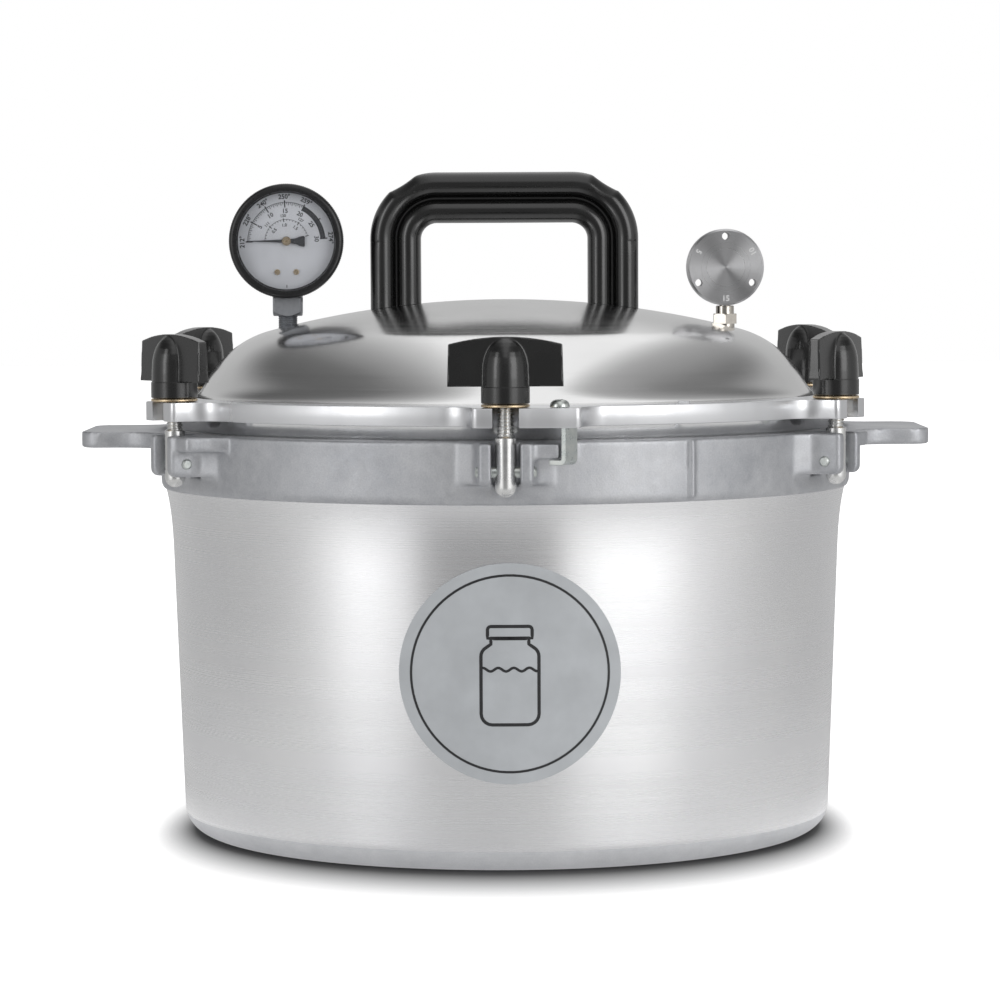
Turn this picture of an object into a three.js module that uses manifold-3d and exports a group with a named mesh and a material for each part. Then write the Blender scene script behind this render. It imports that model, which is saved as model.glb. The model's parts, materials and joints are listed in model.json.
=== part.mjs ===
// A cast aluminium pressure canner: a bowl and a domed lid held together by six
// swing bolts with wing nuts, a top handle, a pressure gauge, a vent pipe with its
// regulator weight, an overpressure plug and a canning rack.
// Millimetres, +Z up. The origin is the centre of the bottom, the front is -Y.
// Angles round the canner run from the front (-Y) towards +X.
import * as THREE from 'three';
import { mergeVertices } from 'three/addons/utils/BufferGeometryUtils.js';
import Module from 'manifold-3d';

const wasm = await Module();
wasm.setup();

// ---------------------------------------------------------------- driving sizes
const GAP = 0.35; // clearance between pieces that touch or run on each other
const ROUND = 48; // facets round the bowl and the lid
const SMALL_ROUND = 12; // facets round the small turned pieces
const DIAL_ROUND = 24; // facets round the gauge and the weight

// bowl
const FLOOR_RADIUS = 157.1;
const FLOOR_FILLET = 12.6;
const FLOOR_THICKNESS = 6;
const BODY_TOP_Z = 135.5; // end of the straight, slightly flared side
const BODY_TOP_RADIUS = 161.5;
const INNER_FLOOR_RADIUS = 151.6;
const INNER_FILLET = 10;
const MOUTH_RADIUS = 155.6; // inside radius at the foot of the seat
const MOUTH_Z = 184.7;
const BAND_BOTTOM_Z = 167.2; // thick cast band round the mouth
const BAND_TOP_Z = 195.7;
const BAND_RADIUS = 167.6;
const SEAT_SLOPE = 0.5; // metal-to-metal cone: radius per height
const RIB_ANGLE = 30; // alignment rib on the band, in degrees

// six clamps
const CLAMPS = 6;
const CLAMP_STEP = 360 / CLAMPS;
const BOLT_CIRCLE = 177.5;
const PIVOT_Z = 182.5;
const PIN_RADIUS = 2.5;
const LUG_BOTTOM_Z = 176.4;
const LUG_FACE_RADIUS = 185;
const LUG_SLOT_HALF = 6.45;
const LUG_SLOT_FLOOR = 165.2;
const LEDGE_BOTTOM_Z = 188.5; // ledge beside each lug, for the lid's lock clip
const LEDGE_RADIUS = 183;
const SHANK_RADIUS = 4.75;
const THREAD_RADIUS = 4;
const BOLT_BOTTOM_Z = 171.3;
const BOLT_TOP_Z = 238.5;
const WASHER_RADIUS = 10.85;
const WASHER_THICKNESS = 1.2;
const COLLAR_RADIUS = 10.85;
const NUT_BODY_RADIUS = 10.4;
const NUT_TOP_Z = 242.5;
const WING_BOTTOM_Z = 220.5;
const WING_SPAN = 51.5;
const WING_THICKNESS = 6.4;
// how far each wing nut is turned from lying square to the lid's edge, in degrees
const NUT_TURNS = [0, 2, -5, 4, 3, 6];

// lid
const FLANGE_BOTTOM_Z = 202.3;
const FLANGE_TOP_Z = 211.1;
const FLANGE_RADIUS = 168;
const BOSS_FACE_RADIUS = 186;
const BOSS_HALF = 15;
const FRONT_BOSS_END = 33.5; // the front boss runs on to carry the lock clip
const BOSS_SLOT_HALF = 5.9;
const BOSS_RELIEF = 1.1; // slope at the boss's outer edge, so that the washer swings clear
const DOME_TOP_Z = 257;
const DOME_RADIUS = 450; // sphere of the dome's crown
const CROWN_EDGE = 114;
const SHOULDER_RADIUS = 50;
const SHOULDER_END = 57; // steepest slope of the shoulder, in degrees
const DOME_WALL = 6;
const SKIRT_BOTTOM_Z = 186.2;

// top handle
const HANDLE_HALF = 65;
const HANDLE_TOP_Z = 318.6;
const GRIP_OPENING_HALF = 40.8;
const GRIP_OPENING_TOP_Z = 293.7;
const HANDLE_DEPTH = 24;
const HANDLE_SCREW_X = 53;
const HANDLE_SCREW_RADIUS = 1.6;

// gauge, facing the front
const GAUGE_X = -105.5;
const GAUGE_Z = 285.7;
const GAUGE_RADIUS = 27.8;
const CASE_RADIUS = 26.8;
const CASE_WALL = 1.4;
const DIAL_RADIUS = 24.8;
const DIAL_SCREW_X = 4.6;
const DIAL_SCREW_Y = -15;
const STEM_WIDTH = 14;
const NECK_DEPTH = 5.4; // half the depth of the stem where it enters the case
const PINION_RADIUS = 1.6;
const SECTOR_RADIUS = 10;

// vent pipe and regulator weight
const VENT_X = 107.3;
const WEIGHT_Z = 272.1;
const WEIGHT_RADIUS = 18.55;
const WEIGHT_THICKNESS = 16;
const NOZZLE_RADIUS = 2.7;

// overpressure plug, at the back of the dome
const PLUG_Y = 104;
const PLUG_RADIUS = 5.6;
const PLUG_LIP = 7.4;

// side handles, rack and label
const SIDE_HANDLE_END = 203.1;
const SIDE_HANDLE_HALF = 40;
const RACK_RADIUS = 140;
const LABEL_RADIUS = 50;
const LABEL_Z = 91;
const LABEL_X = 1.5;

// ---------------------------------------------------------------- materials
const shade = (color, roughness, metalness) =>
  new THREE.MeshStandardMaterial({ color, roughness, metalness });
const polished = shade(0xd6d8da, 0.25, 1);
const cast = shade(0xb2b6bc, 0.6, 1);
const steel = shade(0xc3c6c8, 0.3, 1);
const zinc = shade(0xb4bcbc, 0.4, 1);
const brass = shade(0xb58a4a, 0.35, 1);
const phenolic = shade(0x111213, 0.25, 0);
const paper = shade(0xe9eaec, 0.6, 0);
const greyPrint = shade(0xb4b6ba, 0.5, 0.2);
const black = shade(0x15161a, 0.4, 0);
const rubber = shade(0x1b1b1b, 0.8, 0);
const glass = new THREE.MeshStandardMaterial({ color: 0xf2f6f7, transparent: true, opacity: 0.3 });

// ---------------------------------------------------------------- solids
const radians = THREE.MathUtils.degToRad;

// Turns a closed three.js geometry into a solid whose faces point out.
function solidOf(geometry) {
  const plain = geometry.clone();
  plain.deleteAttribute('normal');
  plain.deleteAttribute('uv');
  const welded = mergeVertices(plain, 1e-4);
  const position = welded.getAttribute('position');
  const corner = (i) => new THREE.Vector3().fromBufferAttribute(position, i);
  const kept = [];
  let volume = 0;
  for (let i = 0; i < welded.index.count; i += 3) {
    const [a, b, c] = [0, 1, 2].map((k) => welded.index.getX(i + k));
    if (a === b || b === c || c === a) continue;
    kept.push([a, b, c]);
    volume += corner(a).dot(corner(b).cross(corner(c)));
  }
  const facing = volume > 0 ? kept : kept.map(([a, b, c]) => [a, c, b]);
  const mesh = new wasm.Mesh({
    numProp: 3,
    vertProperties: new Float32Array(position.array),
    triVerts: new Uint32Array(facing.flat()),
  });
  return new wasm.Manifold(mesh);
}

function geometryOf(solid) {
  const mesh = solid.getMesh();
  const geometry = new THREE.BufferGeometry();
  geometry.setAttribute('position', new THREE.BufferAttribute(mesh.vertProperties, 3));
  geometry.setIndex(new THREE.BufferAttribute(mesh.triVerts, 1));
  geometry.computeVertexNormals();
  return geometry;
}

const moved = (geometry, x, y, z) => geometry.translate(x, y, z);

// Points of an arc about (cx, cy), from one angle to another, in degrees.
function arc(cx, cy, radius, from, to, steps) {
  return Array.from({ length: steps + 1 }, (_, i) => {
    const angle = radians(from + ((to - from) * i) / steps);
    return [cx + radius * Math.cos(angle), cy + radius * Math.sin(angle)];
  });
}

// A profile of [radius, height] points turned about the vertical axis.
function turned(profile, facets = SMALL_ROUND) {
  const points = profile.map(([r, z]) => new THREE.Vector2(r, z));
  return new THREE.LatheGeometry(points, facets).rotateX(Math.PI / 2);
}

const ring = (inner, outer, low, high, facets) =>
  turned([[inner, low], [outer, low], [outer, high], [inner, high], [inner, low]], facets);

const rod = (radius, low, high, facets) =>
  turned([[0, low], [radius, low], [radius, high], [0, high]], facets);

// An outline of [x, y] points raised from one height to another.
function prism(outline, low, high, options = {}) {
  const shape = new THREE.Shape(outline.map(([x, y]) => new THREE.Vector2(x, y)));
  const depth = high - low;
  const settings = { depth, bevelEnabled: false, ...options };
  return new THREE.ExtrudeGeometry(shape, settings).translate(0, 0, low);
}

const block = (x0, x1, y0, y1, z0, z1) =>
  new THREE.BoxGeometry(x1 - x0, y1 - y0, z1 - z0).translate((x0 + x1) / 2, (y0 + y1) / 2, (z0 + z1) / 2);

// An outline given as [sideways, outwards] beside the front clamp.
const clampPrism = (outline, low, high) => prism(outline.map(([t, r]) => [t, -r]), low, high);

const crosswise = (radius, half) => rod(radius, -half, half, 12).rotateY(Math.PI / 2);

// ---------------------------------------------------------------- the assembly
const canner = new THREE.Group();

function add(parent, name, solid, material) {
  const mesh = new THREE.Mesh(geometryOf(solid), material);
  mesh.name = name;
  parent.add(mesh);
  return mesh;
}

const clampAngles = Array.from({ length: CLAMPS }, (_, i) => i * CLAMP_STEP);
const seatRadius = (z) => MOUTH_RADIUS + (z - MOUTH_Z) * SEAT_SLOPE;

// The outside radius of the bowl's flared side at a height.
function sideRadius(z) {
  const share = (z - FLOOR_FILLET) / (BODY_TOP_Z - FLOOR_FILLET);
  return FLOOR_RADIUS + (BODY_TOP_RADIUS - FLOOR_RADIUS) * share;
}

function bowlProfile() {
  const fillet = FLOOR_FILLET;
  const inner = INNER_FILLET;
  return [
    [0, 0],
    ...arc(FLOOR_RADIUS - fillet, fillet, fillet, -90, 0, 4),
    [BODY_TOP_RADIUS, BODY_TOP_Z],
    [162.4, 150],
    [164.2, 161],
    [165.6, BAND_BOTTOM_Z],
    [BAND_RADIUS - 0.5, BAND_BOTTOM_Z + 2.5],
    [BAND_RADIUS, BAND_TOP_Z - 0.8],
    [BAND_RADIUS - 0.8, BAND_TOP_Z],
    [seatRadius(BAND_TOP_Z), BAND_TOP_Z],
    [MOUTH_RADIUS, MOUTH_Z],
    ...arc(INNER_FLOOR_RADIUS - inner, FLOOR_THICKNESS + inner, inner, 0, -90, 3),
    [0, FLOOR_THICKNESS],
  ];
}

function lug() {
  const face = LUG_FACE_RADIUS;
  const side = [[12.6, 176], [14.5, 171.5], [22, 166.5], [22, 160]];
  const mirrored = side.map(([t, r]) => [-t, r]).reverse();
  const outline = (out) => [[12, out], ...side, ...mirrored, [-12, out]];
  const ledge = [[8, LEDGE_RADIUS], [24, LEDGE_RADIUS], [25.5, 180.5], [27, 172], [31, 164], [8, 160]];
  return solidOf(clampPrism(outline(face), LUG_BOTTOM_Z + 2.4, BAND_TOP_Z))
    .add(solidOf(clampPrism(outline(face - 1.8), LUG_BOTTOM_Z, LUG_BOTTOM_Z + 3)))
    .add(solidOf(clampPrism(ledge, LEDGE_BOTTOM_Z, BAND_TOP_Z - 0.5)));
}

function sideHandle() {
  const corner = 9;
  const inset = SIDE_HANDLE_END - corner;
  const outline = [
    [158, -50],
    [171, -43],
    [180, -SIDE_HANDLE_HALF],
    ...arc(inset, -SIDE_HANDLE_HALF + corner, corner, -90, 0, 4),
    ...arc(inset, SIDE_HANDLE_HALF - corner, corner, 0, 90, 4),
    [180, SIDE_HANDLE_HALF],
    [171, 43],
    [158, 50],
  ];
  return prism(outline, 187.3, 195);
}

function makeBowl() {
  let bowl = solidOf(turned(bowlProfile(), ROUND));
  const inside = solidOf(rod(seatRadius(BAND_TOP_Z) + 1.5, MOUTH_Z - 20, BAND_TOP_Z + 5, ROUND));
  let fittings = solidOf(sideHandle()).add(solidOf(sideHandle().rotateZ(Math.PI)));
  const rib = clampPrism([[-1.6, 165], [1.6, 165], [1.6, 169.4], [-1.6, 169.4]], BAND_BOTTOM_Z + 2, BAND_TOP_Z);
  fittings = fittings.add(solidOf(rib.rotateZ(radians(RIB_ANGLE))));
  const half = LUG_SLOT_HALF;
  const slot = block(-half, half, -195, -LUG_SLOT_FLOOR, LUG_BOTTOM_Z - 5, BAND_TOP_Z + 5);
  const pinHole = moved(crosswise(PIN_RADIUS + GAP, 20), 0, -BOLT_CIRCLE, PIVOT_Z);
  for (const angle of clampAngles) {
    fittings = fittings.add(lug().rotate([0, 0, angle]));
  }
  bowl = bowl.add(fittings.subtract(inside));
  for (const angle of clampAngles) {
    bowl = bowl.subtract(solidOf(slot).rotate([0, 0, angle]));
    bowl = bowl.subtract(solidOf(pinHole).rotate([0, 0, angle]));
  }
  add(canner, 'bowl', bowl, polished);
}

// ---------------------------------------------------------------- lid
// The crown is a sphere, and the shoulder is an arc tangent to it.
const crownCentreZ = DOME_TOP_Z - DOME_RADIUS;
const crownTilt = Math.asin(CROWN_EDGE / DOME_RADIUS);
const shoulderX = (DOME_RADIUS - SHOULDER_RADIUS) * Math.sin(crownTilt);
const shoulderZ = crownCentreZ + (DOME_RADIUS - SHOULDER_RADIUS) * Math.cos(crownTilt);
const domeZ = (r) => crownCentreZ + Math.sqrt(DOME_RADIUS ** 2 - r ** 2);

function domeCurve(inwards) {
  const tilt = THREE.MathUtils.radToDeg(crownTilt);
  return [
    ...arc(0, crownCentreZ, DOME_RADIUS - inwards, 90, 90 - tilt, 3),
    ...arc(shoulderX, shoulderZ, SHOULDER_RADIUS - inwards, 90 - tilt, 90 - SHOULDER_END, 4).slice(1),
  ];
}

function lidProfile() {
  const lidSeat = (z) => seatRadius(z) - GAP * Math.hypot(1, SEAT_SLOPE);
  return [
    ...domeCurve(0),
    [148.2, 213.8],
    [150.4, 211.9],
    [153.2, FLANGE_TOP_Z],
    [FLANGE_RADIUS, FLANGE_TOP_Z],
    [FLANGE_RADIUS, FLANGE_BOTTOM_Z],
    [lidSeat(FLANGE_BOTTOM_Z), FLANGE_BOTTOM_Z],
    [lidSeat(SKIRT_BOTTOM_Z), SKIRT_BOTTOM_Z],
    [150, SKIRT_BOTTOM_Z],
    [146.5, 206],
    ...domeCurve(DOME_WALL).reverse(),
  ];
}

function boss(leftEnd, rightEnd) {
  const face = BOSS_FACE_RADIUS;
  const side = (end) => [[end - 2, face], [end, face - 2], [end, 179], [end + 1, 174.5], [end + 4.5, 170], [end + 9, 166]];
  const left = side(leftEnd).map(([t, r]) => [-t, r]).reverse();
  const outline = [...side(rightEnd), [rightEnd, 160], [-leftEnd, 160], ...left];
  return solidOf(clampPrism(outline, FLANGE_BOTTOM_Z, FLANGE_TOP_Z));
}

// The cut that opens a boss for its bolt, with the slope at the outer edge.
function bossSlot() {
  const half = BOSS_SLOT_HALF;
  const outline = [[half, 195], ...arc(0, BOLT_CIRCLE, half, 0, -180, 4), [-half, 195]];
  const slot = clampPrism(outline, FLANGE_BOTTOM_Z - 3, FLANGE_TOP_Z + 3);
  const inner = -(BOLT_CIRCLE + 3.5);
  const outer = -(BOSS_FACE_RADIUS + 0.5);
  const slope = [[inner, FLANGE_TOP_Z], [outer, FLANGE_TOP_Z - BOSS_RELIEF], [outer, FLANGE_TOP_Z + 2], [inner, FLANGE_TOP_Z + 2]];
  const across = prism(slope, -WASHER_RADIUS - 1, WASHER_RADIUS + 1);
  across.rotateX(Math.PI / 2).rotateZ(Math.PI / 2);
  return solidOf(slot).add(solidOf(across));
}

function makeLid() {
  let lid = solidOf(turned(lidProfile(), ROUND));
  for (const angle of clampAngles) {
    const rightEnd = angle === 0 ? FRONT_BOSS_END : BOSS_HALF;
    lid = lid.add(boss(BOSS_HALF, rightEnd).rotate([0, 0, angle]));
  }
  for (const angle of clampAngles) {
    lid = lid.subtract(bossSlot().rotate([0, 0, angle]));
  }
  const bore = (radius, x) => solidOf(moved(rod(radius + GAP, 225, 262), x, 0, 0));
  lid = lid.subtract(bore(4.75, GAUGE_X)).subtract(bore(4.75, VENT_X));
  lid = lid.subtract(solidOf(moved(rod(7.5, 244.3, 262), VENT_X, 0, 0)));
  for (const side of [-1, 1]) {
    lid = lid.subtract(bore(HANDLE_SCREW_RADIUS, side * HANDLE_SCREW_X));
  }
  const plugHole = moved(rod(PLUG_RADIUS + GAP, -30, 30).rotateX(-plugTilt), 0, PLUG_Y, domeZ(PLUG_Y));
  lid = lid.subtract(solidOf(plugHole)).subtract(lockPocket()).subtract(lockScrewHole());
  add(canner, 'lid', lid, polished);
}

// ---------------------------------------------------------------- lock clip
// A bent strip under the front boss: its foot hooks under the ledge of the front lug.
const CLIP_THICKNESS = 2.3;
const CLIP_WIDTH = 10;
const CLIP_X = 28.1;
const CLIP_Y = -180.8;
const CLIP_TURN = 57; // the strip's face looks this far to the right of the front
const CLIP_BOTTOM_Z = 185.8;
const CLIP_TAB_Z = FLANGE_BOTTOM_Z + 2.6;
const CLIP_REACH = 7.5;
const SCREW_REACH = 4.9;

// Places a shape drawn with the strip's face towards -Y.
const atClip = (geometry) => moved(geometry.rotateZ(radians(CLIP_TURN)), CLIP_X, CLIP_Y, 0);

function makeLockClip() {
  const half = CLIP_WIDTH / 2;
  const face = -CLIP_THICKNESS / 2;
  const back = CLIP_THICKNESS / 2;
  const outline = [
    [face, CLIP_TAB_Z],
    [CLIP_REACH + 2, CLIP_TAB_Z],
    [CLIP_REACH + 2, CLIP_TAB_Z - CLIP_THICKNESS],
    [back, CLIP_TAB_Z - CLIP_THICKNESS],
    [back, CLIP_BOTTOM_Z + CLIP_THICKNESS],
    [CLIP_REACH, CLIP_BOTTOM_Z + CLIP_THICKNESS],
    [CLIP_REACH, CLIP_BOTTOM_Z],
    [face + 2, CLIP_BOTTOM_Z],
    [face, CLIP_BOTTOM_Z + 2],
  ];
  const strip = prism(outline, -half, half).rotateX(Math.PI / 2).rotateZ(Math.PI / 2);
  const hole = moved(rod(1.9, CLIP_TAB_Z - 5, CLIP_TAB_Z + 5, 12), 0, SCREW_REACH, 0);
  add(canner, 'lock_clip', solidOf(atClip(strip)).subtract(solidOf(atClip(hole))), zinc);
  const head = FLANGE_TOP_Z + GAP;
  const screw = turned([
    [0, CLIP_TAB_Z - 3.5],
    [1.5, CLIP_TAB_Z - 3.5],
    [1.5, head],
    [4.4, head],
    [4.2, head + 1.4],
    [2.6, head + 2.9],
    [0, head + 3.3],
  ], 12);
  add(canner, 'lock_screw', solidOf(atClip(moved(screw, 0, SCREW_REACH, 0))), zinc);
}

function lockPocket() {
  const half = CLIP_WIDTH / 2 + GAP;
  const front = -CLIP_THICKNESS / 2 - GAP;
  const pocket = block(-half, half, front, CLIP_REACH + 2 + GAP, FLANGE_BOTTOM_Z - 2, CLIP_TAB_Z + GAP);
  return solidOf(atClip(pocket));
}

function lockScrewHole() {
  return solidOf(atClip(moved(rod(1.5 + GAP, 190, 230, 12), 0, SCREW_REACH, 0)));
}

// ---------------------------------------------------------------- clamps
function makeClamp(number, angle, nutTurn) {
  const clamp = new THREE.Group();
  clamp.rotation.z = radians(angle);
  canner.add(clamp);

  const pin = moved(crosswise(PIN_RADIUS, 13.7), 0, -BOLT_CIRCLE, PIVOT_Z);
  add(clamp, `pivot_pin_${number}`, solidOf(pin), zinc);

  const bolt = turned([
    [0, BOLT_BOTTOM_Z],
    [2.9, BOLT_BOTTOM_Z + 0.7],
    [SHANK_RADIUS, BOLT_BOTTOM_Z + 4],
    [SHANK_RADIUS, 197],
    [THREAD_RADIUS, 198],
    [THREAD_RADIUS, BOLT_TOP_Z - 1],
    [THREAD_RADIUS - 1, BOLT_TOP_Z],
    [0, BOLT_TOP_Z],
  ], 12);
  const eye = moved(crosswise(PIN_RADIUS + GAP, 8), 0, 0, PIVOT_Z);
  const boltMesh = add(clamp, `swing_bolt_${number}`, solidOf(bolt).subtract(solidOf(eye)), steel);
  boltMesh.position.y = -BOLT_CIRCLE;

  const washerLow = FLANGE_TOP_Z + GAP;
  const washerHigh = washerLow + WASHER_THICKNESS;
  const washer = ring(THREAD_RADIUS + 0.5, WASHER_RADIUS, washerLow, washerHigh);
  add(clamp, `washer_${number}`, solidOf(washer), brass).position.y = -BOLT_CIRCLE;

  const nut = add(clamp, `wing_nut_${number}`, wingNut(washerHigh + GAP), phenolic);
  nut.position.y = -BOLT_CIRCLE;
  nut.rotation.z = radians(nutTurn);
}

function wingNut(low) {
  const body = turned([
    [0, low],
    [COLLAR_RADIUS, low],
    [COLLAR_RADIUS, WING_BOTTOM_Z - 0.6],
    [NUT_BODY_RADIUS, WING_BOTTOM_Z],
    [NUT_BODY_RADIUS - 0.8, WING_BOTTOM_Z + 12],
    [NUT_BODY_RADIUS - 3.2, NUT_TOP_Z - 3],
    [NUT_BODY_RADIUS - 6.6, NUT_TOP_Z],
    [0, NUT_TOP_Z],
  ]);
  const tip = WING_SPAN / 2;
  const outline = [
    [-tip, WING_BOTTOM_Z],
    [tip, WING_BOTTOM_Z],
    [tip, NUT_TOP_Z - 5],
    [tip - 2, NUT_TOP_Z - 3],
    [tip / 2, NUT_TOP_Z - 0.7],
    [0, NUT_TOP_Z],
    [-tip / 2, NUT_TOP_Z - 0.7],
    [-tip + 2, NUT_TOP_Z - 3],
    [-tip, NUT_TOP_Z - 5],
  ];
  const wings = prism(outline, -WING_THICKNESS / 2, WING_THICKNESS / 2).rotateX(Math.PI / 2);
  const bore = rod(THREAD_RADIUS + GAP, low - 5, BOLT_TOP_Z + 0.6, 12);
  return solidOf(body).add(solidOf(wings)).subtract(solidOf(bore));
}

// ---------------------------------------------------------------- top handle
function makeTopHandle() {
  const half = HANDLE_HALF;
  const top = HANDLE_TOP_Z;
  const outer = [
    [half, 287.5],
    [half - 2.4, 298],
    [54.6, 309],
    [43.5, 316.2],
    [33.5, top],
  ];
  const opening = arc(GRIP_OPENING_HALF - 7.8, GRIP_OPENING_TOP_Z - 7.8, 7.8, 90, 0, 3);
  const right = [...opening, [GRIP_OPENING_HALF, 250], [half - 0.6, 248], ...outer];
  const left = right.map(([x, z]) => [-x, z]).reverse();
  const bevel = 5;
  const flat = HANDLE_DEPTH / 2 - bevel;
  const rounded = {
    bevelEnabled: true,
    bevelThickness: bevel,
    bevelSize: 4,
    bevelOffset: -4,
    bevelSegments: 2,
  };
  const bow = prism([...right, ...left], -flat, flat, rounded).rotateX(Math.PI / 2);
  const dome = turned([[0, 230], [90, 230], ...arc(0, crownCentreZ, DOME_RADIUS + GAP, 78.5, 90, 4)], ROUND);
  let handle = solidOf(bow).subtract(solidOf(dome));
  for (const side of [-1, 1]) {
    handle = handle.subtract(solidOf(moved(rod(HANDLE_SCREW_RADIUS + GAP, 240, 274, 12), side * HANDLE_SCREW_X, 0, 0)));
  }
  add(canner, 'top_handle', handle, phenolic);
  for (const side of [-1, 1]) {
    const shank = HANDLE_SCREW_RADIUS;
    const screw = turned([[0, 243.2], [5, 243.2], [6, 244.6], [6, 246.2], [shank, 246.2], [shank, 273], [0, 273.6]], 12);
    const mesh = add(canner, `handle_screw_${side < 0 ? 1 : 2}`, solidOf(screw), steel);
    mesh.position.x = side * HANDLE_SCREW_X;
  }
}

// ---------------------------------------------------------------- gauge
// Drawn lying on its back: x to the right, y up the dial, z out of the dial.
const PIVOT_DROP = PINION_RADIUS + SECTOR_RADIUS + GAP;
const SECTOR_REST = -14.4; // the sector starts this far to one side, in degrees

function makeGauge() {
  const gauge = new THREE.Group();
  gauge.position.set(GAUGE_X, 0, GAUGE_Z);
  gauge.rotation.x = Math.PI / 2;
  canner.add(gauge);
  const stemHole = block(-STEM_WIDTH / 2 - GAP, STEM_WIDTH / 2 + GAP, -35, -18, -NECK_DEPTH - GAP, NECK_DEPTH + GAP);
  const inner = CASE_RADIUS - CASE_WALL;
  const shell = turned([
    [0, -10],
    [CASE_RADIUS - 1.5, -10],
    [CASE_RADIUS, -8.5],
    [CASE_RADIUS, 10.2],
    [inner, 10.2],
    [inner, -8.6],
    [0, -8.6],
  ], DIAL_ROUND);
  add(gauge, 'gauge_case', solidOf(shell).subtract(solidOf(stemHole)), black);
  const bezel = turned([
    [CASE_RADIUS + GAP, 7.6],
    [GAUGE_RADIUS, 7.6],
    [GAUGE_RADIUS, 12.8],
    [GAUGE_RADIUS - 1.2, 14],
    [GAUGE_RADIUS - 3.4, 14],
    [23, 12.8],
    [23, 12.3],
    [CASE_RADIUS + GAP, 12.3],
    [CASE_RADIUS + GAP, 7.6],
  ], DIAL_ROUND);
  add(gauge, 'gauge_bezel', solidOf(bezel), black);
  add(gauge, 'gauge_lens', solidOf(rod(CASE_RADIUS - 0.2, 10.55, 11.95, DIAL_ROUND)), glass);
  makeDial(gauge);
  makeMovement(gauge);
  makeGaugeStem();
}

function makeDial(gauge) {
  let dial = solidOf(rod(DIAL_RADIUS, 6.5, 7.3, DIAL_ROUND));
  dial = dial.subtract(solidOf(rod(1.5, 5, 9, 12)));
  for (const side of [-1, 1]) {
    dial = dial.subtract(solidOf(moved(rod(0.8 + GAP, 5, 9, 8), side * DIAL_SCREW_X, DIAL_SCREW_Y, 0)));
    const screw = turned([[0, 3.4], [0.8, 3.4], [0.8, 7.65], [1.5, 7.65], [1.2, 8.2], [0, 8.2]], 8);
    const placed = moved(screw, side * DIAL_SCREW_X, DIAL_SCREW_Y, 0);
    add(gauge, `dial_screw_${side < 0 ? 1 : 2}`, solidOf(placed), brass);
  }
  add(gauge, 'gauge_dial', dial, paper);
  const blade = [[-19, 0], [-3, 1], [4, 1], [9, 2.4], [9, -2.4], [4, -1], [-3, -1]];
  const hub = solidOf(rod(2.35, 7.75, 9.4, 12));
  add(gauge, 'gauge_pointer', solidOf(prism(blade, 8.2, 8.8)).add(hub), black);
}

function makeMovement(gauge) {
  const staff = turned([[0, -3], [0.8, -3], [0.8, -0.4], [PINION_RADIUS, -0.4], [PINION_RADIUS, 1.6], [0.8, 1.6], [0.8, 7.4], [0, 7.4]], 12);
  add(gauge, 'gauge_pinion', solidOf(staff), brass);

  const plate = solidOf(block(-8, 8, -18.4, 4, -4.8, -3.4)).add(solidOf(moved(rod(0.8, -4, 2.6, 8), 0, -PIVOT_DROP, 0)));
  const posts = solidOf(block(-6.4, -3.2, -16.6, -13.4, -4, 3)).add(solidOf(block(3.2, 6.4, -16.6, -13.4, -4, 3)));
  add(gauge, 'gauge_frame', plate.add(posts), brass);

  const fan = [[0, 0], ...arc(0, 0, SECTOR_RADIUS, 90 - 30, 90 + 30, 6)];
  const hub = rod(2, -0.2, 1.4, 12);
  const tail = block(-1.2, 1.2, -6, 0, -0.2, 1.4);
  const hole = rod(0.8 + GAP, -3, 5, 8);
  const sector = solidOf(prism(fan, -0.2, 1.4)).add(solidOf(hub)).add(solidOf(tail)).subtract(solidOf(hole));
  const sectorMesh = add(gauge, 'gauge_sector', sector, brass);
  sectorMesh.position.y = -PIVOT_DROP;
  sectorMesh.rotation.z = radians(SECTOR_REST);

  const radius = 18;
  const path = new THREE.CatmullRomCurve3(
    arc(0, 0, radius, -124, -330, 16).map(([x, y]) => new THREE.Vector3(x, y, 0)),
  );
  const section = new THREE.Shape([[-3, -1.2], [3, -1.2], [3, 1.2], [-3, 1.2]].map(([x, y]) => new THREE.Vector2(x, y)));
  const tube = new THREE.ExtrudeGeometry(section, { extrudePath: path, steps: 16, bevelEnabled: false });
  add(gauge, 'bourdon_tube', solidOf(tube), brass);
}

function makeGaugeStem() {
  const half = STEM_WIDTH / 2;
  const stem = solidOf(block(-half, half, -6.9, 6.9, 249.4, GAUGE_Z - 27.4))
    .add(solidOf(block(-half, half, -NECK_DEPTH, NECK_DEPTH, 256, GAUGE_Z - 19)))
    .add(solidOf(rod(4.75, 234, 250)))
    .subtract(solidOf(rod(1.5, 230, 258, 8)));
  add(canner, 'gauge_stem', stem, steel).position.x = GAUGE_X;
}

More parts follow.
